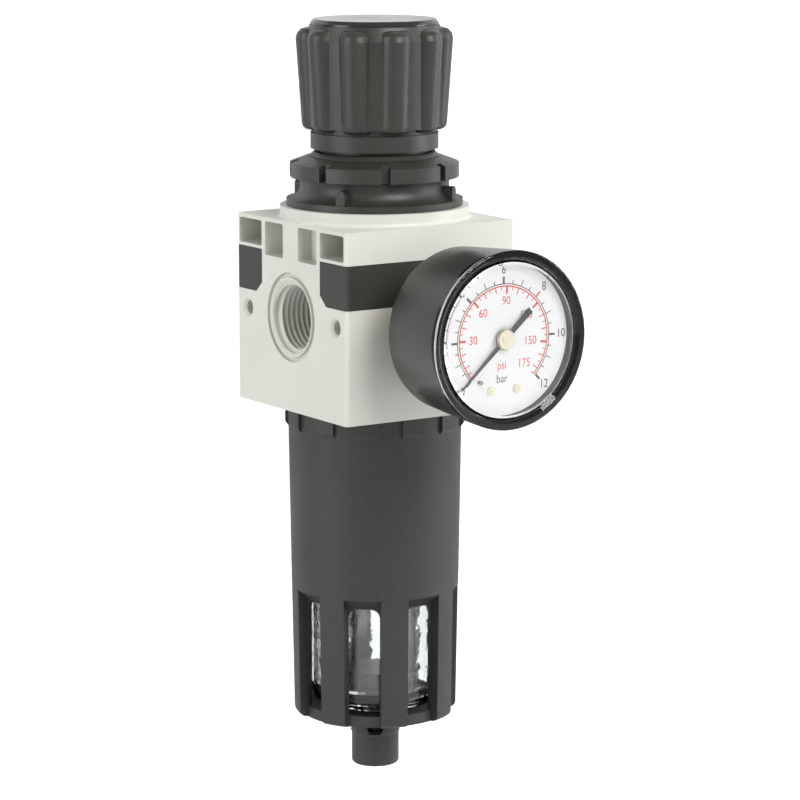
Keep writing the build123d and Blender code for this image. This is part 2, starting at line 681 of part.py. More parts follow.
# Valve seat: a brass ring with a raised lip underneath
with BuildPart() as valve_seat:
    with BuildSketch(SECTION):
        with BuildLine():
            Polyline(
                (SEAT_ORIFICE_R, SEAT_TOP_Z), (VALVE_BORE_R - FIT, SEAT_TOP_Z),
                (VALVE_BORE_R - FIT, SEAT_BOTTOM_Z), (SEAT_LIP_R + SEAT_LIP_HEIGHT, SEAT_BOTTOM_Z),
                (SEAT_LIP_R, POPPET_TOP_Z), (SEAT_ORIFICE_R, POPPET_TOP_Z), close=True,
            )
        make_face()
    revolve(axis=COLUMN)

# Valve guide: a cup under the seat, with the stud that carries the filter
with BuildPart() as valve_guide:
    with BuildSketch(SECTION):
        with BuildLine():
            Polyline(
                (GUIDE_BORE_R, SEAT_BOTTOM_Z), (VALVE_BORE_R - FIT, SEAT_BOTTOM_Z),
                (VALVE_BORE_R - FIT, CHAMBER_TOP_Z), (GUIDE_LOWER_R, CHAMBER_TOP_Z),
                (GUIDE_LOWER_R, GUIDE_BOTTOM_Z), (STUD_R, GUIDE_BOTTOM_Z), (STUD_R, STUD_BOTTOM_Z),
                (0, STUD_BOTTOM_Z), (0, GUIDE_FLOOR_Z), (GUIDE_BORE_R, GUIDE_FLOOR_Z), close=True,
            )
        make_face()
    revolve(axis=COLUMN)
    with BuildSketch(level(GUIDE_BOTTOM_Z)):
        with PolarLocations(GUIDE_HOLE_RING_R, GUIDE_HOLES):
            Circle(GUIDE_HOLE_R)
    extrude(amount=GUIDE_FLOOR, mode=Mode.SUBTRACT)

# Poppet: a sealing head on a short hub
with BuildPart() as poppet:
    with BuildSketch(SECTION):
        with BuildLine():
            Polyline(
                (STEM_R, POPPET_TOP_Z), (POPPET_R, POPPET_TOP_Z), (POPPET_R, POPPET_TOP_Z - POPPET_HEAD),
                (POPPET_STEM_R, POPPET_TOP_Z - POPPET_HEAD), (POPPET_STEM_R, POPPET_TOP_Z - POPPET_LENGTH),
                (STEM_R, POPPET_TOP_Z - POPPET_LENGTH), close=True,
            )
        make_face()
    revolve(axis=COLUMN)

# Valve stem, from the poppet to the relief seat under the diaphragm
with BuildPart() as valve_stem:
    with BuildSketch(level(POPPET_TOP_Z - POPPET_LENGTH)):
        Circle(STEM_R)
    extrude(amount=RELIEF_BOTTOM_Z - POPPET_TOP_Z + POPPET_LENGTH)

# Bush that guides the stem and parts the outlet chamber from the diaphragm
with BuildPart() as stem_bush:
    with BuildSketch(level(STEM_BUSH_Z)):
        Circle(WELL_R - FIT)
        Circle(STEM_R + FIT, mode=Mode.SUBTRACT)
        with PolarLocations(STEM_BUSH_PILOT_RING_R, 2):
            Circle(STEM_BUSH_PILOT_R, mode=Mode.SUBTRACT)
    extrude(amount=STEM_BUSH_THICKNESS)

valve_spring = coil_spring(
    VALVE_SPRING_R, VALVE_SPRING_WIRE, GUIDE_FLOOR_Z, POPPET_TOP_Z - POPPET_HEAD, VALVE_SPRING_TURNS
)

# Diaphragm with one raised fold between its clamped rim and the plate
with BuildPart() as diaphragm:
    fold_inner = CONVOLUTION_R - CONVOLUTION_HALF
    fold_outer = CONVOLUTION_R + CONVOLUTION_HALF
    with BuildSketch(SECTION):
        with BuildLine():
            Polyline(
                (fold_inner, CLAMP_Z), (RELIEF_NECK_R + FIT, CLAMP_Z), (RELIEF_NECK_R + FIT, DIAPHRAGM_TOP_Z),
                (fold_inner - CONVOLUTION_WALL, DIAPHRAGM_TOP_Z),
            )
            ThreePointArc(
                (fold_inner - CONVOLUTION_WALL, DIAPHRAGM_TOP_Z),
                (CONVOLUTION_R, DIAPHRAGM_TOP_Z + CONVOLUTION_HALF),
                (fold_outer + CONVOLUTION_WALL, DIAPHRAGM_TOP_Z),
            )
            Polyline(
                (fold_outer + CONVOLUTION_WALL, DIAPHRAGM_TOP_Z), (BONNET_SPIGOT_R - FIT, DIAPHRAGM_TOP_Z),
                (BONNET_SPIGOT_R - FIT, CLAMP_Z), (fold_outer, CLAMP_Z),
            )
            ThreePointArc((fold_outer, CLAMP_Z), (CONVOLUTION_R, CLAMP_Z + CONVOLUTION_HALF), (fold_inner, CLAMP_Z))
        make_face()
    revolve(axis=COLUMN)

# Plate between the diaphragm and the range spring
with BuildPart() as diaphragm_plate:
    with BuildSketch(SECTION):
        with BuildLine():
            Polyline(
                (RELIEF_NECK_R + FIT, DIAPHRAGM_TOP_Z), (PLATE_R, DIAPHRAGM_TOP_Z), (PLATE_R, PLATE_TOP_Z),
                (PLATE_BOSS_R, PLATE_TOP_Z), (PLATE_BOSS_R, PLATE_TOP_Z + PLATE_BOSS_HEIGHT),
                (RELIEF_NECK_R + FIT, PLATE_TOP_Z + PLATE_BOSS_HEIGHT), close=True,
            )
        make_face()
    revolve(axis=COLUMN)

# Relief seat, screwed to the plate from below, vented through its middle
with BuildPart() as relief_seat:
    with BuildSketch(SECTION):
        with BuildLine():
            Polyline(
                (RELIEF_VENT_R, RELIEF_BOTTOM_Z), (RELIEF_R, RELIEF_BOTTOM_Z), (RELIEF_R, CLAMP_Z),
                (RELIEF_NECK_R, CLAMP_Z), (RELIEF_NECK_R, PLATE_TOP_Z), (RELIEF_VENT_R, PLATE_TOP_Z), close=True,
            )
        make_face()
    revolve(axis=COLUMN)

# Bonnet: flange, waisted wall, panel thread and the neck that the knob slides on
with BuildPart() as bonnet:
    wide_bore = CONVOLUTION_R + CONVOLUTION_HALF + DIAPHRAGM_THICKNESS
    with BuildSketch(SECTION):
        with BuildLine():
            Polyline(
                (BONNET_SHOULDER_R, SHOULDER_Z), (BONNET_THREAD_R, SHOULDER_Z),
                (BONNET_THREAD_R, THREAD_TOP_Z - BONNET_THREAD_CHAMFER),
                (BONNET_THREAD_R - BONNET_THREAD_CHAMFER, THREAD_TOP_Z), (BONNET_NECK_R, THREAD_TOP_Z),
                (BONNET_NECK_R, BONNET_TOP_Z), (SCREW_JOURNAL_R + FIT, BONNET_TOP_Z),
                (SCREW_JOURNAL_R + FIT, ROOF_Z), (BONNET_BORE_R, ROOF_Z), (BONNET_BORE_R, FLANGE_TOP_Z),
                (wide_bore, BOSS_TOP), (wide_bore, DIAPHRAGM_TOP_Z),
                (BONNET_SPIGOT_R - FIT, DIAPHRAGM_TOP_Z), (BONNET_SPIGOT_R - FIT, BOSS_TOP),
                (BONNET_FLANGE_R, BOSS_TOP), (BONNET_FLANGE_R, FLANGE_TOP_Z), (BONNET_WALL_R, FLANGE_TOP_Z),
            )
            ThreePointArc(
                (BONNET_WALL_R, FLANGE_TOP_Z),
                (BONNET_SHOULDER_R - GAP, (FLANGE_TOP_Z + SHOULDER_Z) / 2),
                (BONNET_SHOULDER_R, SHOULDER_Z),
            )
        make_face()
    revolve(axis=COLUMN)
    with BuildSketch(level(DIAPHRAGM_TOP_Z)):
        with PolarLocations(BONNET_BORE_R, 2):
            Rectangle(2 * KEY_DEPTH, KEY_WIDTH + 2 * FIT)
    extrude(amount=ROOF_Z - DIAPHRAGM_TOP_Z, mode=Mode.SUBTRACT)
    for angle in angles(BONNET_LUGS, BONNET_LUG_ANGLE):
        with BuildSketch(outward_at(angle, BONNET_LUG_ROOT_R, FLANGE_TOP_Z)):
            with Locations((0, BONNET_LUG_HEIGHT / 2 - BONNET_LUG_WIDTH / 4)):
                Rectangle(BONNET_LUG_WIDTH, BONNET_LUG_HEIGHT - BONNET_LUG_WIDTH / 2)
            with Locations((0, BONNET_LUG_HEIGHT - BONNET_LUG_WIDTH / 2)):
                Circle(BONNET_LUG_WIDTH / 2)
        extrude(amount=BONNET_LUG_R - BONNET_LUG_ROOT_R)

# Panel nut: round, coned on top, with slots for a hook wrench
with BuildPart() as panel_nut:
    with BuildSketch(SECTION):
        with BuildLine():
            Polyline(
                (BONNET_THREAD_R + FIT, NUT_BOTTOM_Z), (NUT_R, NUT_BOTTOM_Z), (NUT_R, NUT_BOTTOM_Z + NUT_SIDE),
                (NUT_TOP_R, NUT_BOTTOM_Z + NUT_SIDE + NUT_CONE),
                (BONNET_THREAD_R + FIT, NUT_BOTTOM_Z + NUT_SIDE + NUT_CONE), close=True,
            )
        make_face()
    revolve(axis=COLUMN)
    with BuildSketch(level(NUT_BOTTOM_Z)):
        with PolarLocations(NUT_R, NUT_SLOTS, start_angle=NUT_SLOT_ANGLE):
            Rectangle(2 * NUT_SLOT_DEPTH, NUT_SLOT_WIDTH)
    extrude(amount=NUT_SIDE + NUT_CONE, mode=Mode.SUBTRACT)

# Adjusting screw: shank, thrust collar, journal and the hexagon that drives it
with BuildPart() as adjusting_screw:
    with BuildSketch(SECTION):
        with BuildLine():
            Polyline(
                (0, COLLAR_BOTTOM_Z - SCREW_LENGTH), (SCREW_R, COLLAR_BOTTOM_Z - SCREW_LENGTH),
                (SCREW_R, COLLAR_BOTTOM_Z), (SCREW_COLLAR_R, COLLAR_BOTTOM_Z), (SCREW_COLLAR_R, COLLAR_TOP_Z),
                (SCREW_JOURNAL_R, COLLAR_TOP_Z), (SCREW_JOURNAL_R, HEX_BOTTOM_Z), (0, HEX_BOTTOM_Z), close=True,
            )
        make_face()
    revolve(axis=COLUMN)
    with BuildSketch(level(HEX_BOTTOM_Z)):
        RegularPolygon(SCREW_HEX / 2, 6, major_radius=False)
    extrude(amount=SCREW_HEX_HEIGHT)
    with BuildSketch(level(HEX_TOP_Z)):
        Circle(KNOB_SCREW_R + FIT)
    extrude(amount=-KNOB_SCREW_LENGTH - GAP, mode=Mode.SUBTRACT)

thrust_washer = ring(SECTION, COLUMN, SCREW_JOURNAL_R + FIT, SCREW_COLLAR_R, COLLAR_TOP_Z, ROOF_Z)

# Spring nut: keyed in the bonnet, so that the turning screw moves it up and down
with BuildPart() as spring_nut:
    with BuildSketch(level(SPRING_NUT_BOTTOM_Z)):
        Circle(SPRING_NUT_R)
        with PolarLocations(SPRING_NUT_R, 2):
            Rectangle(2 * (KEY_DEPTH - GAP), KEY_WIDTH)
        Circle(SCREW_R + FIT, mode=Mode.SUBTRACT)
    extrude(amount=SPRING_NUT_HEIGHT)

range_spring = coil_spring(
    RANGE_SPRING_R, RANGE_SPRING_WIRE, PLATE_TOP_Z, SPRING_NUT_BOTTOM_Z, RANGE_SPRING_TURNS
)

# One raised lobe of the knob: a leaning round bar with a rounded edge at either end
with BuildPart() as knob_lobe:
    foot_z = GRIP_BOTTOM_Z - LOBE_OVERHANG + LOBE_EDGE
    stations = [
        rounded_end(foot_z, LOBE_FOOT_R, LOBE_FOOT_ROUND, LOBE_EDGE, -step) for step in (90, 60, 30, 0)
    ]
    stations += [
        rounded_end(GRIP_TOP_Z, LOBE_TOP_R, LOBE_TOP_ROUND, LOBE_SHOULDER, step) for step in (0, 30, 60, 90)
    ]
    for height, reach, bar in stations:
        with BuildSketch(level(height)):
            with Locations((reach - bar, 0)):
                Circle(bar)
    loft(ruled=True)
    with BuildSketch(level(KNOB_BOTTOM_Z)):
        Circle(LOBE_ROOT_R)
    extrude(amount=CROWN_Z - KNOB_BOTTOM_Z, mode=Mode.SUBTRACT)

# Knob: a hollow cap with ten lobes, a hexagon socket and a skirt
with BuildPart() as knob:
    with BuildSketch(SECTION):
        with BuildLine():
            Polyline(
                (KNOB_BORE_R, KNOB_BOTTOM_Z), (KNOB_SKIRT_R, KNOB_BOTTOM_Z),
                (KNOB_SKIRT_R, KNOB_BOTTOM_Z + KNOB_SKIRT_HEIGHT),
                (KNOB_GROOVE_R, KNOB_BOTTOM_Z + KNOB_SKIRT_HEIGHT), (KNOB_GROOVE_R, GRIP_BOTTOM_Z),
                (KNOB_FOOT_R, GRIP_BOTTOM_Z), (KNOB_SHOULDER_R, GRIP_TOP_Z), (KNOB_CROWN_R, CROWN_Z),
                (CAP_SPIGOT_R, CROWN_Z), (CAP_SPIGOT_R, CROWN_Z - CAP_SPIGOT),
                (KNOB_POCKET_R, CROWN_Z - CAP_SPIGOT), (KNOB_POCKET_R, LEDGE_TOP_Z), (0, LEDGE_TOP_Z),
                (0, LEDGE_TOP_Z - KNOB_LEDGE), (KNOB_BOSS_R, LEDGE_TOP_Z - KNOB_LEDGE),
                (KNOB_BOSS_R, CROWN_Z - CAP_SPIGOT - KNOB_ROOF), (KNOB_BORE_R, CROWN_Z - CAP_SPIGOT - KNOB_ROOF),
                close=True,
            )
        make_face()
    revolve(axis=COLUMN)
    with Locations((COLUMN_X, 0, 0)):
        with PolarLocations(0, LOBES, start_angle=LOBE_ANGLE):
            add(knob_lobe.part.moved(Location((-COLUMN_X, 0, 0))))
    with BuildSketch(level(LEDGE_TOP_Z)):
        RegularPolygon(SCREW_HEX / 2 + FIT, 6, major_radius=False)
    extrude(amount=-KNOB_LEDGE, mode=Mode.SUBTRACT)

# Round cap on top of the knob
with BuildPart() as knob_cap:
    with BuildSketch(SECTION):
        with BuildLine():
            Polyline(
                (0, CROWN_Z - CAP_SPIGOT), (CAP_SPIGOT_R - FIT, CROWN_Z - CAP_SPIGOT),
                (CAP_SPIGOT_R - FIT, CROWN_Z + CAP_SEAM), (CAP_R, CROWN_Z + CAP_SEAM),
                (CAP_R, CROWN_Z + CAP_SEAM + CAP_RIM),
                (CAP_TOP_R, CROWN_Z + CAP_SEAM + CAP_RIM + CAP_CHAMFER),
                (0, CROWN_Z + CAP_SEAM + CAP_RIM + CAP_CHAMFER), close=True,
            )
        make_face()
    revolve(axis=COLUMN)

# Screw with a wide washer under its head, which stops the knob when it is pulled up
with BuildPart() as knob_screw:
    with BuildSketch(SECTION):
        with BuildLine():
            Polyline(
                (0, HEX_TOP_Z - KNOB_SCREW_LENGTH), (KNOB_SCREW_R, HEX_TOP_Z - KNOB_SCREW_LENGTH),
                (KNOB_SCREW_R, HEX_TOP_Z), (KNOB_WASHER_R, HEX_TOP_Z), (KNOB_WASHER_R, HEX_TOP_Z + KNOB_WASHER),
                (KNOB_SCREW_HEAD_R, HEX_TOP_Z + KNOB_WASHER),
                (KNOB_SCREW_HEAD_R, HEX_TOP_Z + KNOB_WASHER + KNOB_SCREW_HEAD),
                (0, HEX_TOP_Z + KNOB_WASHER + KNOB_SCREW_HEAD), close=True,
            )
        make_face()
    revolve(axis=COLUMN)
    with BuildSketch(level(HEX_TOP_Z + KNOB_WASHER + KNOB_SCREW_HEAD)):
        Rectangle(2 * KNOB_SCREW_HEAD_R, KNOB_SCREW_SLOT)
    extrude(amount=-KNOB_SCREW_SLOT, mode=Mode.SUBTRACT)

# Deflector: slanted vanes around a hub, which set the air swirling
with BuildPart() as deflector:
    with BuildSketch(SECTION):
        with BuildLine():
            Polyline(
                (GUIDE_LOWER_R + FIT, FILTER_TOP_Z), (DEFLECTOR_HUB_R, FILTER_TOP_Z),
                (DEFLECTOR_HUB_R, CHAMBER_TOP_Z), (GUIDE_LOWER_R + FIT, CHAMBER_TOP_Z), close=True,
            )
        make_face()
    revolve(axis=COLUMN)
    lean = VANE_HEIGHT * math.tan(math.radians(VANE_LEAN))
    for angle in angles(VANES, 0):
        with BuildSketch(outward_at(angle, DEFLECTOR_HUB_R - FIT, VANE_TOP_Z)):
            with BuildLine():
                Polyline(
                    (0, 0), (VANE_THICKNESS, 0), (VANE_THICKNESS + lean, -VANE_HEIGHT), (lean, -VANE_HEIGHT),
                    close=True,
                )
            make_face()
        extrude(amount=DEFLECTOR_R - DEFLECTOR_HUB_R)
    with BuildSketch(level(VANE_TOP_Z)):
        Circle(2 * DEFLECTOR_R)
        Circle(DEFLECTOR_R, mode=Mode.SUBTRACT)
    extrude(amount=-VANE_HEIGHT, mode=Mode.SUBTRACT)

filter_element = ring(SECTION, COLUMN, FILTER_BORE_R, FILTER_R, FILTER_TOP_Z - FILTER_LENGTH, FILTER_TOP_Z)

# Baffle: a skirted disc that holds the filter up and keeps the still water below it
with BuildPart() as baffle:
    baffle_top = FILTER_TOP_Z - FILTER_LENGTH
    skirt_bottom = baffle_top - BAFFLE_PLATE - BAFFLE_SKIRT
    with BuildSketch(SECTION):
        with BuildLine():
            Polyline(
                (STUD_R + FIT, baffle_top), (FILTER_R, baffle_top), (BAFFLE_R, skirt_bottom),
                (BAFFLE_R - BAFFLE_WALL, skirt_bottom),
                (FILTER_R - BAFFLE_WALL, baffle_top - BAFFLE_PLATE), (BAFFLE_HUB_R, baffle_top - BAFFLE_PLATE),
                (BAFFLE_HUB_R, skirt_bottom), (STUD_R + FIT, skirt_bottom), close=True,
            )
        make_face()
    revolve(axis=COLUMN)

# Guard: bayonet neck, padded collar, tapering wall, and ribs between eight windows
with BuildPart() as bowl_guard:
    channel_inner_r = CHANNEL_R - GUARD_WALL / 2
    with BuildSketch(SECTION):
        with BuildLine():
            Polyline(
                (GUARD_NECK_R - GUARD_NECK_WALL, LUG_TOP_Z), (GUARD_NECK_R, LUG_TOP_Z), (GUARD_NECK_R, COLLAR_Z),
                (GUARD_TOP_R, COLLAR_Z), (GUARD_MIDDLE_R, GUARD_MIDDLE_Z), (GUARD_FOOT_R, GUARD_FOOT_Z),
                (GUARD_OPENING_R, GUARD_FOOT_Z), (GUARD_OPENING_R, GUARD_FOOT_Z + GUARD_FLOOR),
                (channel_inner_r, GUARD_FOOT_Z + GUARD_FLOOR),
                (channel_inner_r, CHANNEL_TOP_Z - CHANNEL_SLOPE + GUARD_WALL),
                (GUARD_TOP_R - GUARD_WALL, CHANNEL_TOP_Z + GUARD_WALL),
                (GUARD_TOP_R - GUARD_WALL, BOWL_SHELF_Z - BOWL_SHELF),
                (BOWL_R + GAP, BOWL_SHELF_Z - BOWL_SHELF), (BOWL_R + GAP, BOWL_SHELF_Z),
                (GUARD_NECK_R - GUARD_NECK_WALL, BOWL_SHELF_Z), close=True,
            )
        make_face()
    revolve(axis=COLUMN)
    foot = bowl_guard.edges().filter_by(GeomType.CIRCLE).filter_by(lambda e: abs(e.radius - GUARD_FOOT_R) < FIT)
    fillet(foot, GUARD_FOOT_FILLET)
    for angle in angles(WINDOWS, WINDOW_ANGLE - CHANNEL_ARC / 2):
        with BuildSketch(section_at(angle)):
            with BuildLine():
                Polyline(
                    (CHANNEL_R, GUARD_FOOT_Z), (GUARD_TOP_R, GUARD_FOOT_Z),
                    (GUARD_TOP_R, CHANNEL_TOP_Z), (CHANNEL_R, CHANNEL_TOP_Z - CHANNEL_SLOPE), close=True,
                )
            make_face()
        revolve(axis=COLUMN, revolution_arc=CHANNEL_ARC, mode=Mode.SUBTRACT)
    window_width = 2 * CHANNEL_R * math.sin(math.radians(WINDOW_ARC / 2))
    window_height = WINDOW_TOP_Z - WINDOW_BOTTOM_Z
    for angle in angles(WINDOWS, WINDOW_ANGLE):
        with BuildSketch(outward_at(angle, channel_inner_r / 2, (WINDOW_TOP_Z + WINDOW_BOTTOM_Z) / 2)):
            RectangleRounded(window_width, window_height, WINDOW_CORNER_R)
            with Locations((0, -window_height / 4)):
                Rectangle(window_width, window_height / 2)
        extrude(amount=CHANNEL_R - channel_inner_r / 2 + GAP, mode=Mode.SUBTRACT)
    for angle in angles(PADS, PAD_ANGLE - PAD_ARC / 2):
        with BuildSketch(section_at(angle)):
            with BuildLine():
                Polyline(
                    (GUARD_NECK_R, COLLAR_Z), (PAD_R, COLLAR_Z), (PAD_R, COLLAR_Z - PAD_HEIGHT + PAD_SLOPE),
                    (GUARD_TOP_R - FIT, COLLAR_Z - PAD_HEIGHT), (GUARD_NECK_R, COLLAR_Z - PAD_HEIGHT), close=True,
                )
            make_face()
        revolve(axis=COLUMN, revolution_arc=PAD_ARC)
    for angle in angles(LUGS, -LUG_ARC / 2):
        with BuildSketch(section_at(angle)):
            with BuildLine():
                Polyline(
                    (GUARD_NECK_R - GAP, LUG_BOTTOM_Z), (LUG_R, LUG_BOTTOM_Z), (LUG_R, LUG_TOP_Z),
                    (GUARD_NECK_R - GAP, LUG_TOP_Z), close=True,
                )
            make_face()
        revolve(axis=COLUMN, revolution_arc=LUG_ARC)

# Clear bowl, hung by its flange from the shelf in the guard
with BuildPart() as bowl:
    ring_groove = BOWL_RING_CORD / 2 + FIT
    groove_r = BOWL_BORE_R - BOWL_RING_CORD - 2 * FIT
    with BuildSketch(SECTION):
        with BuildLine():
            Polyline(
                (BOWL_FOOT_R, BOWL_BOTTOM_Z), (BOWL_R, BOWL_SHELF_Z), (BOWL_FLANGE_R, BOWL_SHELF_Z),
                (BOWL_FLANGE_R, BOWL_SHELF_Z + BOWL_FLANGE), (BOWL_NECK_R, BOWL_SHELF_Z + BOWL_FLANGE),
                (BOWL_NECK_R, BOWL_RING_Z - ring_groove), (groove_r, BOWL_RING_Z - ring_groove),
                (groove_r, BOWL_RING_Z + ring_groove), (BOWL_NECK_R, BOWL_RING_Z + ring_groove),
                (BOWL_NECK_R, BOWL_TOP_Z), (BOWL_R - BOWL_WALL, BOWL_TOP_Z), (BOWL_FOOT_R - BOWL_WALL, FLOOR_Z),
                (DRAIN_HOLE_R, FLOOR_Z), (DRAIN_HOLE_R, BOWL_BOTTOM_Z), close=True,
            )
        make_face()
    revolve(axis=COLUMN)
    rims = bowl.edges().filter_by(GeomType.CIRCLE)
    fillet(rims.filter_by(lambda e: abs(e.radius - BOWL_FOOT_R) < FIT), BOWL_CORNER_R)
    fillet(rims.filter_by(lambda e: abs(e.radius - BOWL_FOOT_R + BOWL_WALL) < FIT), BOWL_CORNER_R - BOWL_WALL / 2)

# O-ring between the bowl's neck and the body
with BuildPart() as bowl_o_ring:
    with BuildSketch(SECTION):
        with Locations((BOWL_BORE_R - FIT - BOWL_RING_CORD / 2, BOWL_RING_Z)):
            Circle(BOWL_RING_CORD / 2)
    revolve(axis=COLUMN)

# Drain valve: a capped tube through the bottom of the bowl, lifted by pushing the knob up
with BuildPart() as drain_stem:
    with BuildSketch(SECTION):
        with BuildLine():
            Polyline(
                (DRAIN_STEM_BORE_R, DRAIN_POCKET_Z - DRAIN_STEM_SOCKET),
                (DRAIN_STEM_R, DRAIN_POCKET_Z - DRAIN_STEM_SOCKET), (DRAIN_STEM_R, SEAL_TOP_Z),
                (DRAIN_CAP_HUB_R, SEAL_TOP_Z), (DRAIN_CAP_HUB_R, CAP_RIM_BOTTOM_Z),
                (DRAIN_CAP_R, CAP_RIM_BOTTOM_Z), (DRAIN_CAP_R, DRAIN_CAP_TOP_Z), (0, DRAIN_CAP_TOP_Z),
                (0, CAP_RIM_BOTTOM_Z), (DRAIN_STEM_BORE_R, CAP_RIM_BOTTOM_Z), close=True,
            )
        make_face()
    revolve(axis=COLUMN)
    with BuildSketch(outward_at(0, 0, (BOWL_BOTTOM_Z + FLOOR_Z) / 2)):
        Circle(DRAIN_PORT_R)
    extrude(amount=DRAIN_STEM_R, both=True, mode=Mode.SUBTRACT)

drain_seal = ring(SECTION, COLUMN, DRAIN_STEM_R + FIT, DRAIN_SEAL_R, FLOOR_Z, SEAL_TOP_Z)

with BuildPart() as drain_knob:
    with BuildSketch(SECTION):
        with BuildLine():
            Polyline(
                (DRAIN_OUTLET_R, DRAIN_KNOB_BOTTOM_Z), (DRAIN_KNOB_R, DRAIN_KNOB_BOTTOM_Z),
                (DRAIN_KNOB_R, DRAIN_KNOB_TOP_Z - DRAIN_COLLAR_HEIGHT),
                (DRAIN_COLLAR_R, DRAIN_KNOB_TOP_Z - DRAIN_COLLAR_HEIGHT + DRAIN_COLLAR_SLOPE),
                (DRAIN_COLLAR_R, DRAIN_KNOB_TOP_Z), (DRAIN_POCKET_R, DRAIN_KNOB_TOP_Z),
                (DRAIN_POCKET_R, DRAIN_POCKET_Z), (DRAIN_STEM_R + FIT, DRAIN_POCKET_Z),
                (DRAIN_STEM_R + FIT, DRAIN_POCKET_Z - DRAIN_STEM_SOCKET),
                (DRAIN_OUTLET_R, DRAIN_POCKET_Z - DRAIN_STEM_SOCKET), close=True,
            )
        make_face()
    revolve(axis=COLUMN)
    foot = drain_knob.edges().filter_by(GeomType.CIRCLE).group_by(Axis.Z)[0].sort_by(SortBy.RADIUS)[-1]
    fillet(foot, DRAIN_KNOB_EDGE_R)
    for angle in angles(DRAIN_NOTCHES, DRAIN_NOTCH_ANGLE):
        with BuildSketch(outward_at(angle, DRAIN_POCKET_R - GAP, DRAIN_KNOB_TOP_Z)):
            with BuildLine():
                Polyline(
                    (-DRAIN_NOTCH_WIDTH / 2, 0), (-DRAIN_NOTCH_FLOOR / 2, -DRAIN_NOTCH_DEPTH),
                    (DRAIN_NOTCH_FLOOR / 2, -DRAIN_NOTCH_DEPTH), (DRAIN_NOTCH_WIDTH / 2, 0), close=True,
                )
            make_face()
        extrude(amount=DRAIN_COLLAR_R, mode=Mode.SUBTRACT)

drain_spring = coil_spring(
    DRAIN_SPRING_R, DRAIN_SPRING_WIRE, DRAIN_POCKET_Z, BOWL_BOTTOM_Z, DRAIN_SPRING_TURNS
)

# Bourdon tube: a flattened C, held at its start, that uncoils under pressure
with BuildPart() as bourdon_tube:
    start = facing(TUBE_BACK + TUBE_WIDTH / 2, spot_at(TUBE_R, TUBE_START), TUBE_START)
    with BuildSketch(Plane(origin=start.origin, x_dir=start.x_dir, z_dir=start.y_dir)):
        RectangleRounded(TUBE_THICKNESS, TUBE_WIDTH, TUBE_THICKNESS / 3)
    revolve(axis=GAUGE_AXIS, revolution_arc=TUBE_ARC)

# Gauge stem: thread, wrench square, neck and the block that holds the Bourdon tube
with BuildPart() as gauge_stem:
    thread_end = BODY_DEPTH / 2 - GAUGE_PORT_DEPTH + GAP
    square_back = BODY_DEPTH / 2 + GAUGE_GASKET
    with BuildSketch(facing(thread_end)):
        Circle(GAUGE_PORT_R - FIT)
    extrude(amount=square_back - thread_end)
    with BuildSketch(facing(square_back)):
        RectangleRounded(GAUGE_SQUARE, GAUGE_SQUARE, GAUGE_EDGE_R)
    extrude(amount=GAUGE_BACK - square_back)
    with BuildSketch(facing(GAUGE_BACK)):
        Circle(STEM_NECK_R)
    extrude(amount=GAUGE_WALL)
    with BuildSketch(facing(CASE_BACK_INSIDE)):
        with Locations((0, (STEM_BLOCK_TOP + STEM_BLOCK_BOTTOM) / 2)):
            Rectangle(STEM_BLOCK_WIDTH, STEM_BLOCK_TOP - STEM_BLOCK_BOTTOM)
    extrude(amount=FRAME_BACK - CASE_BACK_INSIDE)
    add(bourdon_tube.part, mode=Mode.SUBTRACT)
    with BuildSketch(facing(thread_end)):
        Circle(STEM_BORE_R)
    extrude(amount=CASE_BACK_INSIDE - thread_end, mode=Mode.SUBTRACT)

gauge_gasket = ring(
    GAUGE_SECTION, GAUGE_AXIS, GAUGE_PORT_R, GAUGE_GASKET_R, BODY_DEPTH / 2, BODY_DEPTH / 2 + GAUGE_GASKET
)

# Gauge case: a cup that widens towards its rim
with BuildPart() as gauge_case:
    with BuildSketch(GAUGE_SECTION):
        with BuildLine():
            Polyline(
                (STEM_NECK_R + FIT, GAUGE_BACK), (GAUGE_BACK_R, GAUGE_BACK), (GAUGE_FRONT_R, CASE_FRONT),
                (LENS_SPIGOT_R + FIT, CASE_FRONT), (LENS_SPIGOT_R + FIT, LENS_SEAT), (LENS_R, LENS_SEAT),
                (GAUGE_BACK_R - GAUGE_WALL, CASE_BACK_INSIDE), (STEM_NECK_R + FIT, CASE_BACK_INSIDE), close=True,
            )
        make_face()
    revolve(axis=GAUGE_AXIS)
    outer = gauge_case.edges().filter_by(GeomType.CIRCLE).filter_by(lambda e: e.radius > GAUGE_BACK_R - FIT)
    fillet(outer.sort_by(Axis.Y)[-1], 2 * GAUGE_EDGE_R)

# Clear lens with a thick rim that covers the front of the case, a spigot inside it and a groove round its window
with BuildPart() as gauge_lens:
    with BuildSketch(GAUGE_SECTION):
        with BuildLine():
            Polyline(
                (0, LENS_FRONT - LENS_THICKNESS), (LENS_R, LENS_FRONT - LENS_THICKNESS), (LENS_R, LENS_SEAT),
                (LENS_SPIGOT_R, LENS_SEAT), (LENS_SPIGOT_R, CASE_FRONT), (GAUGE_FRONT_R, CASE_FRONT),
                (GAUGE_FRONT_R, GAUGE_FRONT), (LENS_SPIGOT_R, GAUGE_FRONT),
                (LENS_GROOVE_R, LENS_FRONT - LENS_GROOVE), (LENS_WINDOW_R, LENS_FRONT), (0, LENS_FRONT),
                close=True,
            )
        make_face()
    revolve(axis=GAUGE_AXIS)
    rim = gauge_lens.edges().filter_by(GeomType.CIRCLE).filter_by(lambda e: e.radius > GAUGE_FRONT_R - FIT)
    fillet(rim.sort_by(Axis.Y)[0], GAUGE_EDGE_R)

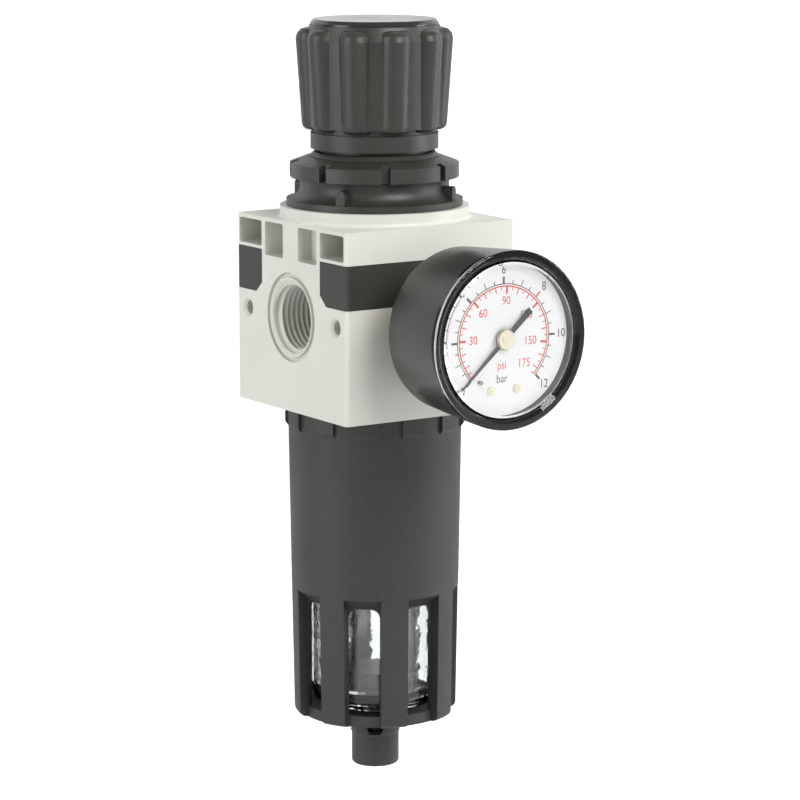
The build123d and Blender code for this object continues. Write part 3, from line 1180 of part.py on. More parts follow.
# Dial, with holes for the pointer's arbor, its two screws and the stop pin
with BuildPart() as dial:
    with BuildSketch(facing(DIAL_BACK)):
        Circle(DIAL_R)
        Circle(DIAL_HOLE_R, mode=Mode.SUBTRACT)
        with Locations(*DIAL_SCREWS):
            Circle(DIAL_SCREW_R / 2 + FIT, mode=Mode.SUBTRACT)
        with PolarLocations(STOP_PIN_RING_R, 1, start_angle=STOP_PIN_ANGLE):
            Circle(STOP_PIN_R, mode=Mode.SUBTRACT)
    extrude(amount=DIAL_THICKNESS)

with BuildPart() as stop_pin:
    with BuildSketch(facing(DIAL_BACK)):
        with PolarLocations(STOP_PIN_RING_R, 1, start_angle=STOP_PIN_ANGLE):
            Circle(STOP_PIN_R)
    extrude(amount=DIAL_THICKNESS + STOP_PIN_HEIGHT)

# Two slotted screws that hold the dial to the movement
with BuildPart() as dial_screws:
    with BuildSketch(facing(FRAME_FRONT)):
        with Locations(*DIAL_SCREWS):
            Circle(DIAL_SCREW_R / 2)
    extrude(amount=DIAL_FRONT - FRAME_FRONT)
    with BuildSketch(facing(DIAL_FRONT)):
        with Locations(*DIAL_SCREWS):
            Circle(DIAL_SCREW_R)
    extrude(amount=DIAL_SCREW_HEAD)
    with BuildSketch(facing(DIAL_FRONT + DIAL_SCREW_HEAD)):
        with Locations(*DIAL_SCREWS):
            Rectangle(2 * DIAL_SCREW_R, DIAL_SCREW_SLOT)
    extrude(amount=-DIAL_SCREW_HEAD / 2, mode=Mode.SUBTRACT)

# Plates and pillars of the gauge movement
with BuildPart() as movement_frame:
    for back in (FRAME_BACK, FRAME_FRONT - FRAME_PLATE):
        with BuildSketch(facing(back)):
            with Locations(((FRAME_RIGHT + FRAME_LEFT) / 2, (FRAME_TOP + FRAME_BOTTOM) / 2)):
                Rectangle(FRAME_RIGHT - FRAME_LEFT, FRAME_TOP - FRAME_BOTTOM)
        extrude(amount=FRAME_PLATE)
    with BuildSketch(facing(FRAME_BACK)):
        with Locations(*PILLARS):
            Circle(PILLAR_R)
    extrude(amount=FRAME_FRONT - FRAME_BACK)
    with BuildSketch(facing(FRAME_FRONT - FRAME_PLATE)):
        for across, up in DIAL_SCREWS:
            with Locations((across, (FRAME_BOTTOM + up) / 2)):
                Rectangle(2 * PILLAR_R, FRAME_BOTTOM - up)
            with Locations((across, up)):
                Circle(PILLAR_R)
    extrude(amount=FRAME_PLATE)
    with BuildSketch(facing(FRAME_FRONT)):
        with Locations(*DIAL_SCREWS):
            Circle(PILLAR_R)
            Circle(DIAL_SCREW_R / 2, mode=Mode.SUBTRACT)
    extrude(amount=DIAL_BACK - FRAME_FRONT)
    with BuildSketch(facing(FRAME_BACK)):
        with Locations((0, 0), PIVOT_SPOT):
            Circle(ARBOR_R + FIT)
    extrude(amount=FRAME_FRONT - FRAME_BACK, mode=Mode.SUBTRACT)

# Pinion on the pointer's arbor
with BuildPart() as pinion:
    with BuildSketch(facing(FRAME_BACK)):
        Circle(ARBOR_R)
    extrude(amount=POINTER_BACK - FRAME_BACK)
    with BuildSketch(facing(GEAR_BACK - (PINION_FACE - GEAR_THICKNESS) / 2, angle=SECTOR_PIVOT_ANGLE)):
        Circle(PINION_R - TOOTH_ROOT)
        for angle in angles(PINION_TEETH, 0):
            add(tooth(PINION_R, angle))
    extrude(amount=PINION_FACE)

# Toothed sector that drives the pinion, with its arbor and a hole for the link's pin
with BuildPart() as sector_gear:
    half_span = math.radians(TOOTH_STEP * SECTOR_TEETH / 2)
    corner = (2 * SECTOR_R * math.cos(half_span), 2 * SECTOR_R * math.sin(half_span))
    with BuildSketch(facing(GEAR_BACK, PIVOT_SPOT, ARM_ANGLE)):
        Circle(SECTOR_R - TOOTH_ROOT)
        Circle(SECTOR_R - TOOTH_ROOT - SECTOR_RIM, mode=Mode.SUBTRACT)
        with BuildLine():
            Polyline((0, 0), corner, (corner[0], -corner[1]), close=True)
        make_face(mode=Mode.INTERSECT)
        with Locations(((SECTOR_R - TOOTH_ROOT) / 2, 0)):
            Rectangle(SECTOR_R - TOOTH_ROOT - SECTOR_RIM / 2, SECTOR_ARM_WIDTH)
        Circle(SECTOR_HUB_R)
        for index in range(SECTOR_TEETH):
            add(tooth(SECTOR_R, (index - (SECTOR_TEETH - 1) / 2) * TOOTH_STEP))
        with Locations((LINK_ARM, 0)):
            Circle(LINK_PIN_R + FIT, mode=Mode.SUBTRACT)
    extrude(amount=GEAR_THICKNESS)
    with BuildSketch(facing(FRAME_BACK, PIVOT_SPOT)):
        Circle(ARBOR_R)
    extrude(amount=FRAME_FRONT - FRAME_BACK)

# Link from the sector towards the free end of the Bourdon tube
with BuildPart() as link:
    with BuildSketch(facing(GEAR_BACK - FIT - LINK_THICKNESS)):
        SlotCenterPoint(
            ((LINK_SPOT[0] + TIP_SPOT[0]) / 2, (LINK_SPOT[1] + TIP_SPOT[1]) / 2), LINK_SPOT, LINK_WIDTH
        )
    extrude(amount=LINK_THICKNESS)
    with BuildSketch(facing(GEAR_BACK - FIT)):
        with Locations(LINK_SPOT):
            Circle(LINK_PIN_R)
    extrude(amount=GEAR_THICKNESS)

# Pointer: a needle on one side of the hub and a broad tail on the other
with BuildPart() as pointer:
    with BuildSketch(facing(POINTER_BACK, angle=POINTER_ANGLE)):
        with BuildLine():
            Polyline(
                (-POINTER_TAIL, -POINTER_TAIL_WIDTH / 2), (0, -POINTER_NECK_WIDTH / 2),
                (POINTER_TIP, -POINTER_TIP_WIDTH / 2), (POINTER_TIP, POINTER_TIP_WIDTH / 2),
                (0, POINTER_NECK_WIDTH / 2), (-POINTER_TAIL, POINTER_TAIL_WIDTH / 2), close=True,
            )
        make_face()
        Circle(HUB_R)
    extrude(amount=POINTER_THICKNESS)

with BuildPart() as pointer_hub:
    with BuildSketch(facing(POINTER_BACK + POINTER_THICKNESS)):
        Circle(HUB_R)
    extrude(amount=HUB_HEIGHT, taper=30)
    with BuildSketch(facing(POINTER_BACK + POINTER_THICKNESS)):
        Circle(HUB_BUTTON_R)
    extrude(amount=HUB_HEIGHT + HUB_BUTTON_HEIGHT)

pieces = {
    "body": body, "front_panel": front_panel, "rear_panel": rear_panel, "rear_port_plug": rear_port_plug,
    "valve_seat": valve_seat, "valve_guide": valve_guide, "poppet": poppet, "valve_stem": valve_stem,
    "stem_bush": stem_bush, "valve_spring": valve_spring, "diaphragm": diaphragm,
    "diaphragm_plate": diaphragm_plate, "relief_seat": relief_seat, "bonnet": bonnet,
    "panel_nut": panel_nut, "adjusting_screw": adjusting_screw, "thrust_washer": thrust_washer,
    "spring_nut": spring_nut, "range_spring": range_spring, "knob": knob, "knob_cap": knob_cap,
    "knob_screw": knob_screw, "deflector": deflector, "filter_element": filter_element, "baffle": baffle,
    "bowl_guard": bowl_guard, "bowl": bowl, "bowl_o_ring": bowl_o_ring, "drain_stem": drain_stem,
    "drain_seal": drain_seal, "drain_knob": drain_knob, "drain_spring": drain_spring,
    "gauge_stem": gauge_stem, "gauge_gasket": gauge_gasket, "gauge_case": gauge_case,
    "gauge_lens": gauge_lens, "dial": dial, "stop_pin": stop_pin, "dial_screws": dial_screws,
    "bourdon_tube": bourdon_tube, "movement_frame": movement_frame, "pinion": pinion,
    "sector_gear": sector_gear, "link": link, "pointer": pointer, "pointer_hub": pointer_hub,
}
os.makedirs("parts", exist_ok=True)
for name, piece in pieces.items():
    piece.part.label = name
    export_step(piece.part, f"parts/{name}.step")
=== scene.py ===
import json
import math

import bmesh
import bpy
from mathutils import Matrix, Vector

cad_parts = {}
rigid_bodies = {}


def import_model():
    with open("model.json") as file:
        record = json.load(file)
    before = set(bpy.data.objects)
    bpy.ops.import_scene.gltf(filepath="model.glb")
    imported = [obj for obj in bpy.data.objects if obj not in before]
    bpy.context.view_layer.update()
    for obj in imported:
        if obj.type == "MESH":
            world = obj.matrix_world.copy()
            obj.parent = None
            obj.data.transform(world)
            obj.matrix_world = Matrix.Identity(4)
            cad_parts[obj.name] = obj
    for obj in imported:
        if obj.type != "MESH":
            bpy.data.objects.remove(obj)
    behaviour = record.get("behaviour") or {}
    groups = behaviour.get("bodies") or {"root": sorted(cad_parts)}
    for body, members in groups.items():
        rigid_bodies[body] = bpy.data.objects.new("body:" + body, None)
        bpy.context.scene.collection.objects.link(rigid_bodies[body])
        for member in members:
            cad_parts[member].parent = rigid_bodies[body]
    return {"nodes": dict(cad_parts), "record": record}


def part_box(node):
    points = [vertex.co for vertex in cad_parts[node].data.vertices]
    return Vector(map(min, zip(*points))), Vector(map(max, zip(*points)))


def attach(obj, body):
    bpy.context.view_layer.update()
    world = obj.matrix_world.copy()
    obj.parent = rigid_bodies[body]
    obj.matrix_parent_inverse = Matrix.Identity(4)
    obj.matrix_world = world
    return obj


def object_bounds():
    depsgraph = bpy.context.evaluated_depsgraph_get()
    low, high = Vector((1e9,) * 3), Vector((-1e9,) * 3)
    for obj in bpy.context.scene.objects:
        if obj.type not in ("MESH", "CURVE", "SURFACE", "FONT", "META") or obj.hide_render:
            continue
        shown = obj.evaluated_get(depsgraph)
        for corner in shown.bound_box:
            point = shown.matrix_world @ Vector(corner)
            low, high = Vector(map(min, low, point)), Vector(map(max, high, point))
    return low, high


MM = 0.001

# Camera, fitted to the photograph, in metres
CAMERA_AT = (-0.3984, -0.6542, 0.11775)
CAMERA_TARGET = (0.02794, -0.00323, -0.02155)
CAMERA_LENS = 151.45
SENSOR = 36.0

# Dial print, in millimetres from the dial's centre
SCALE_START = 225.0        # angle of zero, degrees anticlockwise from the right
SCALE_SWEEP = 270.0
FULL_BAR = 12
PSI_PER_BAR = 14.5038
BLACK_RING = (12.2, 12.4)
RED_RING = (11.65, 11.95)
INK = 0.02                 # thickness of the print

# Threads: pitch in millimetres
PORT_THREAD_PITCH = 1.337
PORT_THREAD_DEPTH = 0.85
PORT_THREAD_LENGTH = 10.6


def principled(name, color, roughness, **sockets):
    """New material with constants on its Principled shader; returns the material and the shader."""
    material = bpy.data.materials.new(name)
    material.use_nodes = True
    shader = material.node_tree.nodes["Principled BSDF"]
    shader.inputs["Base Color"].default_value = (*color, 1.0)
    shader.inputs["Roughness"].default_value = roughness
    for socket, value in sockets.items():
        shader.inputs[socket.replace("_", " ")].default_value = value
    return material, shader


def noise(material, scale, detail=2.0, roughness=0.5):
    """Noise in object space; scale is in features per metre."""
    nodes, links = material.node_tree.nodes, material.node_tree.links
    place = nodes.new("ShaderNodeTexCoord")
    texture = nodes.new("ShaderNodeTexNoise")
    texture.inputs["Scale"].default_value = scale
    texture.inputs["Detail"].default_value = detail
    texture.inputs["Roughness"].default_value = roughness
    links.new(place.outputs["Object"], texture.inputs["Vector"])
    return texture.outputs["Fac"]


def spread(material, source, low, high, to_low, to_high):
    """Maps source from low..high to to_low..to_high, clamped."""
    node = material.node_tree.nodes.new("ShaderNodeMapRange")
    node.inputs["From Min"].default_value = low
    node.inputs["From Max"].default_value = high
    node.inputs["To Min"].default_value = to_low
    node.inputs["To Max"].default_value = to_high
    material.node_tree.links.new(source, node.inputs["Value"])
    return node.outputs["Result"]


def blend_colors(material, factor, first, second):
    """Colour that runs from first to second as factor goes from 0 to 1."""
    node = material.node_tree.nodes.new("ShaderNodeMix")
    node.data_type = "RGBA"
    material.node_tree.links.new(factor, node.inputs["Factor"])
    node.inputs["A"].default_value = (*first, 1.0)
    node.inputs["B"].default_value = (*second, 1.0)
    return node.outputs["Result"]


def bump(material, shader, height, distance, strength=1.0):
    """Raises the surface by height times distance, in metres."""
    node = material.node_tree.nodes.new("ShaderNodeBump")
    node.inputs["Strength"].default_value = strength
    node.inputs["Distance"].default_value = distance
    material.node_tree.links.new(height, node.inputs["Height"])
    material.node_tree.links.new(node.outputs["Normal"], shader.inputs["Normal"])
    return node


def moulded(name, color, roughness, grain=2600.0, depth=0.03, specks=0.5, **sockets):
    """Moulded plastic: fine grain, light specks and slightly uneven gloss."""
    material, shader = principled(name, color, roughness, **sockets)
    links = material.node_tree.links
    fine = noise(material, grain, 3.0, 0.6)
    broad = noise(material, 60.0, 2.0)
    speck = spread(material, noise(material, grain * 1.7, 1.0), 0.66, 0.78, 0.0, specks)
    light = tuple(min(1.0, channel * 5 + 0.03) for channel in color)
    links.new(blend_colors(material, speck, color, light), shader.inputs["Base Color"])
    links.new(spread(material, broad, 0.35, 0.65, roughness - 0.05, roughness + 0.05), shader.inputs["Roughness"])
    bump(material, shader, fine, depth * MM)
    return material


def painted(name, color, roughness):
    """Painted casting: a soft orange peel over a fine grit."""
    material, shader = principled(name, color, roughness)
    links = material.node_tree.links
    peel = noise(material, 900.0, 3.0, 0.6)
    broad = spread(material, noise(material, 45.0, 2.0), 0.35, 0.65, 0.0, 1.0)
    shade = tuple(channel * 0.965 for channel in color)
    links.new(blend_colors(material, broad, shade, color), shader.inputs["Base Color"])
    links.new(spread(material, peel, 0.3, 0.7, roughness - 0.06, roughness + 0.08), shader.inputs["Roughness"])
    bump(material, shader, peel, 0.02 * MM)
    return material


def turned(name, color, roughness, grain=3000.0):
    """Bare metal with fine uneven machining marks."""
    material, shader = principled(name, color, roughness, Metallic=1.0)
    links = material.node_tree.links
    mark = noise(material, grain, 4.0, 0.7)
    dull = tuple(channel * 0.8 for channel in color)
    links.new(blend_colors(material, mark, dull, color), shader.inputs["Base Color"])
    links.new(spread(material, mark, 0.3, 0.7, roughness - 0.08, roughness + 0.12), shader.inputs["Roughness"])
    bump(material, shader, mark, 0.004 * MM)
    return material


def clear(name, color, roughness, ior, wave_scale, wave_depth):
    """Clear plastic, faintly uneven."""
    material, shader = principled(name, color, roughness, Transmission_Weight=1.0, IOR=ior)
    wave = noise(material, wave_scale, 2.0)
    bump(material, shader, wave, wave_depth * MM)
    material.node_tree.links.new(
        spread(material, noise(material, 700.0, 3.0), 0.5, 0.75, roughness, roughness + 0.1),
        shader.inputs["Roughness"],
    )
    return material


def plain_print(name, color, roughness, scale=1500.0):
    """Printed or enamelled surface with a barely uneven tone."""
    material, shader = principled(name, color, roughness)
    shade = tuple(channel * 0.97 for channel in color)
    tone = spread(material, noise(material, scale, 2.0), 0.4, 0.6, 0.0, 1.0)
    material.node_tree.links.new(blend_colors(material, tone, shade, color), shader.inputs["Base Color"])
    bump(material, shader, noise(material, 4000.0, 2.0), 0.002 * MM)
    return material


def dress(material, *names):
    """Gives CAD nodes a material."""
    for name in names:
        mesh = nodes[name].data
        mesh.materials.clear()
        mesh.materials.append(material)


def new_piece(name, mesh_builder, material, body):
    """Mesh piece filled in by mesh_builder(bm), riding on a CAD body."""
    bm = bmesh.new()
    mesh_builder(bm)
    bmesh.ops.recalc_face_normals(bm, faces=bm.faces)
    mesh = bpy.data.meshes.new(name)
    bm.to_mesh(mesh)
    bm.free()
    piece = bpy.data.objects.new(name, mesh)
    bpy.context.scene.collection.objects.link(piece)
    mesh.materials.append(material)
    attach(piece, body)
    return piece


def prism(bm, outline, back, front):
    """Flat solid on the dial: outline in millimetres from its centre, thickness along -Y."""
    lower = [bm.verts.new((dial_x + x * MM, -back * MM, z * MM)) for x, z in outline]
    upper = [bm.verts.new((dial_x + x * MM, -front * MM, z * MM)) for x, z in outline]
    count = len(outline)
    bm.faces.new(lower[::-1])
    bm.faces.new(upper)
    for i in range(count):
        bm.faces.new((lower[i], lower[(i + 1) % count], upper[(i + 1) % count], upper[i]))


def polar(radius, angle):
    turn = math.radians(angle)
    return radius * math.cos(turn), radius * math.sin(turn)


def arc_band(bm, inner, outer, start, end, back, front, steps=120):
    """Curved strip of print between two radii."""
    rows = []
    for i in range(steps + 1):
        angle = start + (end - start) * i / steps
        row = []
        for radius in (inner, outer):
            x, z = polar(radius, angle)
            for depth in (back, front):
                row.append(bm.verts.new((dial_x + x * MM, -depth * MM, z * MM)))
        rows.append(row)
    for first, second in zip(rows, rows[1:]):
        for a, b in ((0, 1), (1, 3), (3, 2), (2, 0)):
            bm.faces.new((first[a], first[b], second[b], second[a]))
    for row in (rows[0], rows[-1]):
        bm.faces.new((row[0], row[1], row[3], row[2]))


def tick(bm, angle, inner, outer, width, back, front):
    """Radial line of print."""
    turn = math.radians(angle)
    side = (-math.sin(turn) * width / 2, math.cos(turn) * width / 2)
    corners = []
    for radius, sign in ((inner, 1), (outer, 1), (outer, -1), (inner, -1)):
        x, z = polar(radius, angle)
        corners.append((x + sign * side[0], z + sign * side[1]))
    prism(bm, corners, back, front)


def text_piece(name, body_text, x, z, size, material):
    """Word or number printed on the dial, centred on x, z in millimetres."""
    curve = bpy.data.curves.new(name, "FONT")
    curve.body = body_text
    curve.size = size * MM * 1.38
    curve.align_x = "CENTER"
    curve.align_y = "CENTER"
    curve.extrude = INK * MM / 2
    letter = bpy.data.objects.new(name, curve)
    bpy.context.scene.collection.objects.link(letter)
    letter.rotation_euler = (math.radians(90), 0, 0)
    letter.scale = (0.86, 1.0, 1.0)
    letter.location = (dial_x + x * MM, -(dial_front + INK / 2) * MM, z * MM)
    bpy.context.view_layer.update()
    mesh = bpy.data.meshes.new_from_object(letter.evaluated_get(bpy.context.evaluated_depsgraph_get()))
    mesh.transform(letter.matrix_world)
    bpy.data.objects.remove(letter)
    mesh.materials.clear()
    mesh.materials.append(material)
    piece = bpy.data.objects.new(name, mesh)
    bpy.context.scene.collection.objects.link(piece)
    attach(piece, "housing")
    return piece


def helix_ridge(bm, centre, along, across, up, radius, depth, pitch, length, steps=72):
    """Thread ridge that stands inward from radius, along a bore."""
    turns = length / pitch
    count = int(turns * steps)
    profile = ((radius + 0.04, -0.47 * pitch), (radius - depth, -0.08 * pitch), (radius - depth, 0.08 * pitch),
               (radius + 0.04, 0.47 * pitch))
    rows = []
    for i in range(count + 1):
        turn = 2 * math.pi * i / steps
        fade = min(1.0, i / (steps / 4), (count - i) / (steps / 4))
        direction = across * math.cos(turn) + up * math.sin(turn)
        row = []
        for reach, shift in profile:
            reach = radius + 0.04 - (radius + 0.04 - reach) * fade
            place = centre + direction * reach * MM + along * (shift + pitch * i / steps) * MM
            row.append(bm.verts.new(place))
        rows.append(row)
    for first, second in zip(rows, rows[1:]):
        for a in range(4):
            b = (a + 1) % 4
            bm.faces.new((first[a], first[b], second[b], second[a]))
    for row in (rows[0], rows[-1]):
        bm.faces.new(row)


def area_light(name, at, target, size, power, color=(1.0, 1.0, 1.0)):
    light = bpy.data.lights.new(name, "AREA")
    light.shape = "RECTANGLE"
    light.size, light.size_y = size
    light.energy = power
    light.color = color
    lamp = bpy.data.objects.new(name, light)
    bpy.context.scene.collection.objects.link(lamp)
    lamp.location = at
    lamp.rotation_euler = (Vector(target) - Vector(at)).to_track_quat("-Z", "Y").to_euler()
    return lamp


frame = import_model()
nodes = frame["nodes"]
cad_low, cad_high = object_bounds()
dial_low, dial_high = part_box("dial")
dial_x = (dial_low.x + dial_high.x) / 2
dial_front = -dial_low.y / MM

# Materials
BLACK = (0.022, 0.022, 0.0185)
paint = painted("body_paint_look", (0.60, 0.595, 0.545), 0.42)
black_panel = moulded("panel_look", BLACK, 0.5)
black_knob = moulded("knob_look", BLACK, 0.42, grain=2200.0, depth=0.02)
black_nut = moulded("nut_look", BLACK, 0.42, depth=0.02)
black_bonnet = moulded("bonnet_look", BLACK, 0.45, depth=0.02)
black_guard = moulded("guard_look", BLACK, 0.5, grain=2400.0, depth=0.05)
black_drain = moulded("drain_look", BLACK, 0.45, depth=0.02)
black_cap = moulded("cap_look", (0.016, 0.016, 0.016), 0.2, depth=0.004, specks=0.1)
black_gauge = moulded("gauge_look", (0.02, 0.02, 0.018), 0.3, depth=0.006, specks=0.15)
black_rubber = moulded("rubber_look", (0.015, 0.015, 0.015), 0.7, depth=0.01)
white_plastic = moulded("inner_plastic_look", (0.72, 0.72, 0.69), 0.45, depth=0.01, specks=0.0)
white_filter = moulded("filter_look", (0.8, 0.8, 0.77), 0.85, grain=9000.0, depth=0.12, specks=0.0)
brass = turned("brass_look", (0.72, 0.58, 0.33), 0.3)
pale_brass = turned("pale_brass_look", (0.78, 0.72, 0.56), 0.28)
brown_brass = turned("brown_brass_look", (0.36, 0.27, 0.17), 0.4)
steel = turned("steel_look", (0.62, 0.62, 0.61), 0.32)
spring_wire = turned("spring_look", (0.5, 0.5, 0.5), 0.25)
aluminium = turned("aluminium_look", (0.75, 0.75, 0.76), 0.35)
clear_bowl = clear("bowl_look", (0.93, 0.95, 0.95), 0.04, 1.58, 260.0, 0.12)
clear_lens = clear("lens_look", (0.98, 0.985, 0.98), 0.0, 1.49, 40.0, 0.002)
dial_white = plain_print("dial_look", (0.86, 0.86, 0.86), 0.5)
ink_black = plain_print("black_ink_look", (0.02, 0.02, 0.02), 0.5)
ink_red = plain_print("red_ink_look", (0.72, 0.055, 0.04), 0.5)

dress(paint, "body")
dress(black_panel, "front_panel", "rear_panel")
dress(black_bonnet, "bonnet")
dress(black_nut, "panel_nut")
dress(black_knob, "knob")
dress(black_cap, "knob_cap")
dress(black_guard, "bowl_guard")
dress(black_drain, "drain_stem", "drain_knob")
dress(black_gauge, "gauge_case")
dress(black_rubber, "diaphragm", "gauge_gasket", "bowl_o_ring", "drain_seal")
dress(white_plastic, "valve_guide", "stem_bush", "deflector", "baffle")
dress(white_filter, "filter_element")
dress(brass, "valve_seat", "relief_seat", "poppet", "spring_nut", "gauge_stem", "bourdon_tube",
      "movement_frame", "pinion", "sector_gear", "link")
dress(pale_brass, "dial_screws", "pointer_hub")
dress(brown_brass, "stop_pin")
dress(steel, "rear_port_plug", "thrust_washer", "adjusting_screw", "knob_screw", "valve_stem")
dress(spring_wire, "valve_spring", "range_spring", "drain_spring")
dress(aluminium, "diaphragm_plate")
dress(clear_bowl, "bowl")
dress(clear_lens, "gauge_lens")
dress(dial_white, "dial")
dress(ink_black, "pointer")


def bar_angle(bar):
    return SCALE_START - SCALE_SWEEP * bar / FULL_BAR


def black_scale(bm):
    back, front = dial_front, dial_front + INK
    arc_band(bm, *BLACK_RING, bar_angle(0), bar_angle(FULL_BAR), back, front)
    for half_bar in range(2 * FULL_BAR + 1):
        if half_bar == 16:
            continue
        length, width = (1.55, 0.5) if half_bar % 4 == 0 else (1.5, 0.2) if half_bar % 2 == 0 else (0.85, 0.2)
        start = BLACK_RING[1] - 0.05
        tick(bm, bar_angle(half_bar / 2), start, start + length, width, back, front)


def red_scale(bm):
    back, front = dial_front, dial_front + INK
    arc_band(bm, *RED_RING, bar_angle(0), bar_angle(175 / PSI_PER_BAR), back, front)
    for psi in range(0, 176, 5):
        length, width = (1.65, 0.5) if psi % 30 == 0 else (1.35, 0.25) if psi % 10 == 0 else (0.75, 0.2)
        start = RED_RING[0] + 0.05
        tick(bm, bar_angle(psi / PSI_PER_BAR), start - length, start, width, back, front)
    tick(bm, bar_angle(8), BLACK_RING[1], BLACK_RING[1] + 1.5, 0.4, back, front)


new_piece("bar_scale", black_scale, ink_black, "housing")
new_piece("psi_scale", red_scale, ink_red, "housing")
for bar in range(0, FULL_BAR + 1, 2):
    x, z = polar(15.4 if bar < 10 else 15.6, bar_angle(bar))
    text_piece(f"bar_{bar}", str(bar), x, z, 2.0, ink_black)
for psi, radius in ((30, 8.1), (60, 8.2), (90, 8.5), (120, 7.8), (150, 7.3), (175, 8.1)):
    x, z = polar(radius, bar_angle(psi / PSI_PER_BAR))
    text_piece(f"psi_{psi}", str(psi), x, z, 1.95, ink_red)
text_piece("psi_word", "psi", -0.4, -5.9, 1.9, ink_red)
text_piece("bar_word", "bar", -0.4, -8.9, 1.9, ink_black)

# Threads in the two ports
for name, side in (("inlet_thread", 1), ("outlet_thread", -1)):
    mount = next(m for m in frame["record"]["mounts"] if m["name"] == name.replace("thread", "face"))
    origin = Vector(mount["pos_m"])
    along = Vector((side, 0, 0))
    start = origin + along * 1.0 * MM

    def ridge(bm):
        helix_ridge(bm, start, along, Vector((0, 1, 0)), Vector((0, 0, 1)), 8.33, PORT_THREAD_DEPTH,
                    PORT_THREAD_PITCH, PORT_THREAD_LENGTH)

    new_piece(name, ridge, paint, "housing")

# Smooth shading with sharp edges kept
for piece in list(nodes.values()) + [o for o in bpy.data.objects if o.name.endswith("_thread")]:
    with bpy.context.temp_override(object=piece, active_object=piece, selected_objects=[piece],
                                   selected_editable_objects=[piece]):
        bpy.ops.object.shade_smooth_by_angle(angle=math.radians(30))

# Floor, backdrop, light
view_axis = Vector(CAMERA_TARGET) - Vector(CAMERA_AT)
flat_axis = Vector((view_axis.x, view_axis.y, 0)).normalized()
BACKDROP_BEHIND = 0.045
FLOOR_BELOW = 0.02


def stage_plane(name, centre, right, up, half_width, half_height, material):
    mesh = bpy.data.meshes.new(name)
    corners = [centre + right * (half_width * sx) + up * (half_height * sz)
               for sx, sz in ((-1, -1), (1, -1), (1, 1), (-1, 1))]
    mesh.from_pydata(corners, [], [(0, 1, 2, 3)])
    plane = bpy.data.objects.new(name, mesh)
    bpy.context.scene.collection.objects.link(plane)
    mesh.materials.append(material)
    return plane


def stage_material(name, color, glow, one_sided=False):
    """Pale surface that is white to the camera and keeps shadows."""
    material = bpy.data.materials.new(name)
    material.use_nodes = True
    tree = material.node_tree
    tree.nodes.clear()
    output = tree.nodes.new("ShaderNodeOutputMaterial")
    diffuse = tree.nodes.new("ShaderNodeBsdfDiffuse")
    diffuse.inputs["Color"].default_value = (*color, 1)
    emission = tree.nodes.new("ShaderNodeEmission")
    path = tree.nodes.new("ShaderNodeLightPath")
    seen = tree.nodes.new("ShaderNodeMath")
    seen.operation = "MAXIMUM"
    tree.links.new(path.outputs["Is Camera Ray"], seen.inputs[0])
    tree.links.new(path.outputs["Is Transmission Ray"], seen.inputs[1])
    strength = tree.nodes.new("ShaderNodeMath")
    strength.operation = "MULTIPLY"
    strength.inputs[1].default_value = glow
    tree.links.new(seen.outputs[0], strength.inputs[0])
    tree.links.new(strength.outputs[0], emission.inputs["Strength"])
    add = tree.nodes.new("ShaderNodeAddShader")
    tree.links.new(diffuse.outputs[0], add.inputs[0])
    tree.links.new(emission.outputs[0], add.inputs[1])
    result = add.outputs[0]
    if one_sided:
        geometry = tree.nodes.new("ShaderNodeNewGeometry")
        through = tree.nodes.new("ShaderNodeBsdfTransparent")
        mix = tree.nodes.new("ShaderNodeMixShader")
        tree.links.new(geometry.outputs["Backfacing"], mix.inputs[0])
        tree.links.new(result, mix.inputs[1])
        tree.links.new(through.outputs[0], mix.inputs[2])
        result = mix.outputs[0]
    tree.links.new(result, output.inputs["Surface"])
    return material


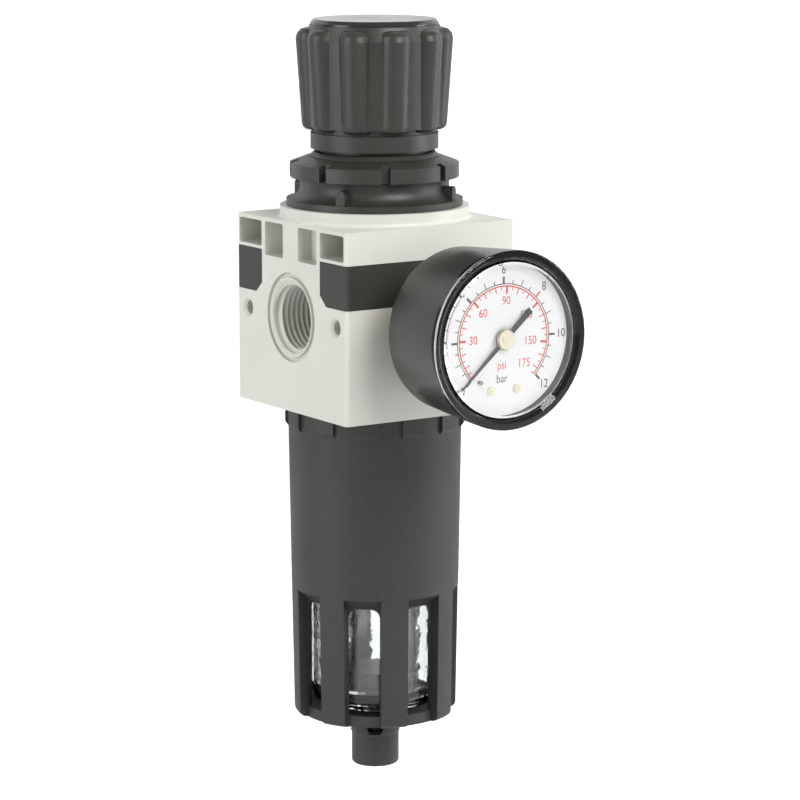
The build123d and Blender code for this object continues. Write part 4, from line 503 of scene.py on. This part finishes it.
middle = (cad_low + cad_high) / 2
right_axis = flat_axis.cross(Vector((0, 0, 1))).normalized()
backdrop_at = middle + flat_axis * BACKDROP_BEHIND
stage_plane("backdrop", backdrop_at, right_axis, Vector((0, 0, 1)), 0.16, 0.15,
            stage_material("backdrop_look", (0.82, 0.82, 0.83), 0.5, one_sided=True))
floor_z = cad_low.z - FLOOR_BELOW
stage_plane("floor", Vector((middle.x, middle.y, floor_z)), Vector((1, 0, 0)), Vector((0, 1, 0)), 1.5, 1.5,
            stage_material("floor_look", (0.82, 0.82, 0.83), 0.5))

world = bpy.data.worlds.new("studio")
bpy.context.scene.world = world
world.use_nodes = True
tree = world.node_tree
tree.nodes.clear()
output = tree.nodes.new("ShaderNodeOutputWorld")
soft = tree.nodes.new("ShaderNodeBackground")
soft.inputs["Color"].default_value = (1, 1, 1, 1)
soft.inputs["Strength"].default_value = 0.45
white = tree.nodes.new("ShaderNodeBackground")
white.inputs["Strength"].default_value = 1.0
white.inputs["Color"].default_value = (1, 1, 1, 1)
path = tree.nodes.new("ShaderNodeLightPath")
seen = tree.nodes.new("ShaderNodeMath")
seen.operation = "MAXIMUM"
tree.links.new(path.outputs["Is Camera Ray"], seen.inputs[0])
tree.links.new(path.outputs["Is Transmission Ray"], seen.inputs[1])
mix = tree.nodes.new("ShaderNodeMixShader")
tree.links.new(seen.outputs[0], mix.inputs[0])
tree.links.new(soft.outputs[0], mix.inputs[1])
tree.links.new(white.outputs[0], mix.inputs[2])
tree.links.new(mix.outputs[0], output.inputs["Surface"])


def around(azimuth, elevation, distance):
    """Point at an azimuth (0 looks along +Y, as the views do), elevation and distance from the middle."""
    a, e = math.radians(azimuth), math.radians(elevation)
    return middle + distance * Vector((math.sin(a) * math.cos(e), -math.cos(a) * math.cos(e), math.sin(e)))


area_light("key", around(5, 40, 0.9), middle, (0.5, 0.5), 7.0)
area_light("left", around(-95, 15, 0.8), middle, (0.4, 0.6), 3.0)
area_light("right", around(60, 10, 0.8), middle, (0.3, 0.6), 2.5)

camera = bpy.data.cameras.new("camera")
camera.lens = CAMERA_LENS
camera.sensor_width = SENSOR
camera.sensor_fit = "HORIZONTAL"
camera.clip_start = 0.05
camera.clip_end = 10.0
viewer = bpy.data.objects.new("camera", camera)
bpy.context.scene.collection.objects.link(viewer)
viewer.location = CAMERA_AT
viewer.rotation_euler = view_axis.to_track_quat("-Z", "Y").to_euler()
bpy.context.scene.camera = viewer
bpy.context.scene.view_settings.view_transform = "Standard"
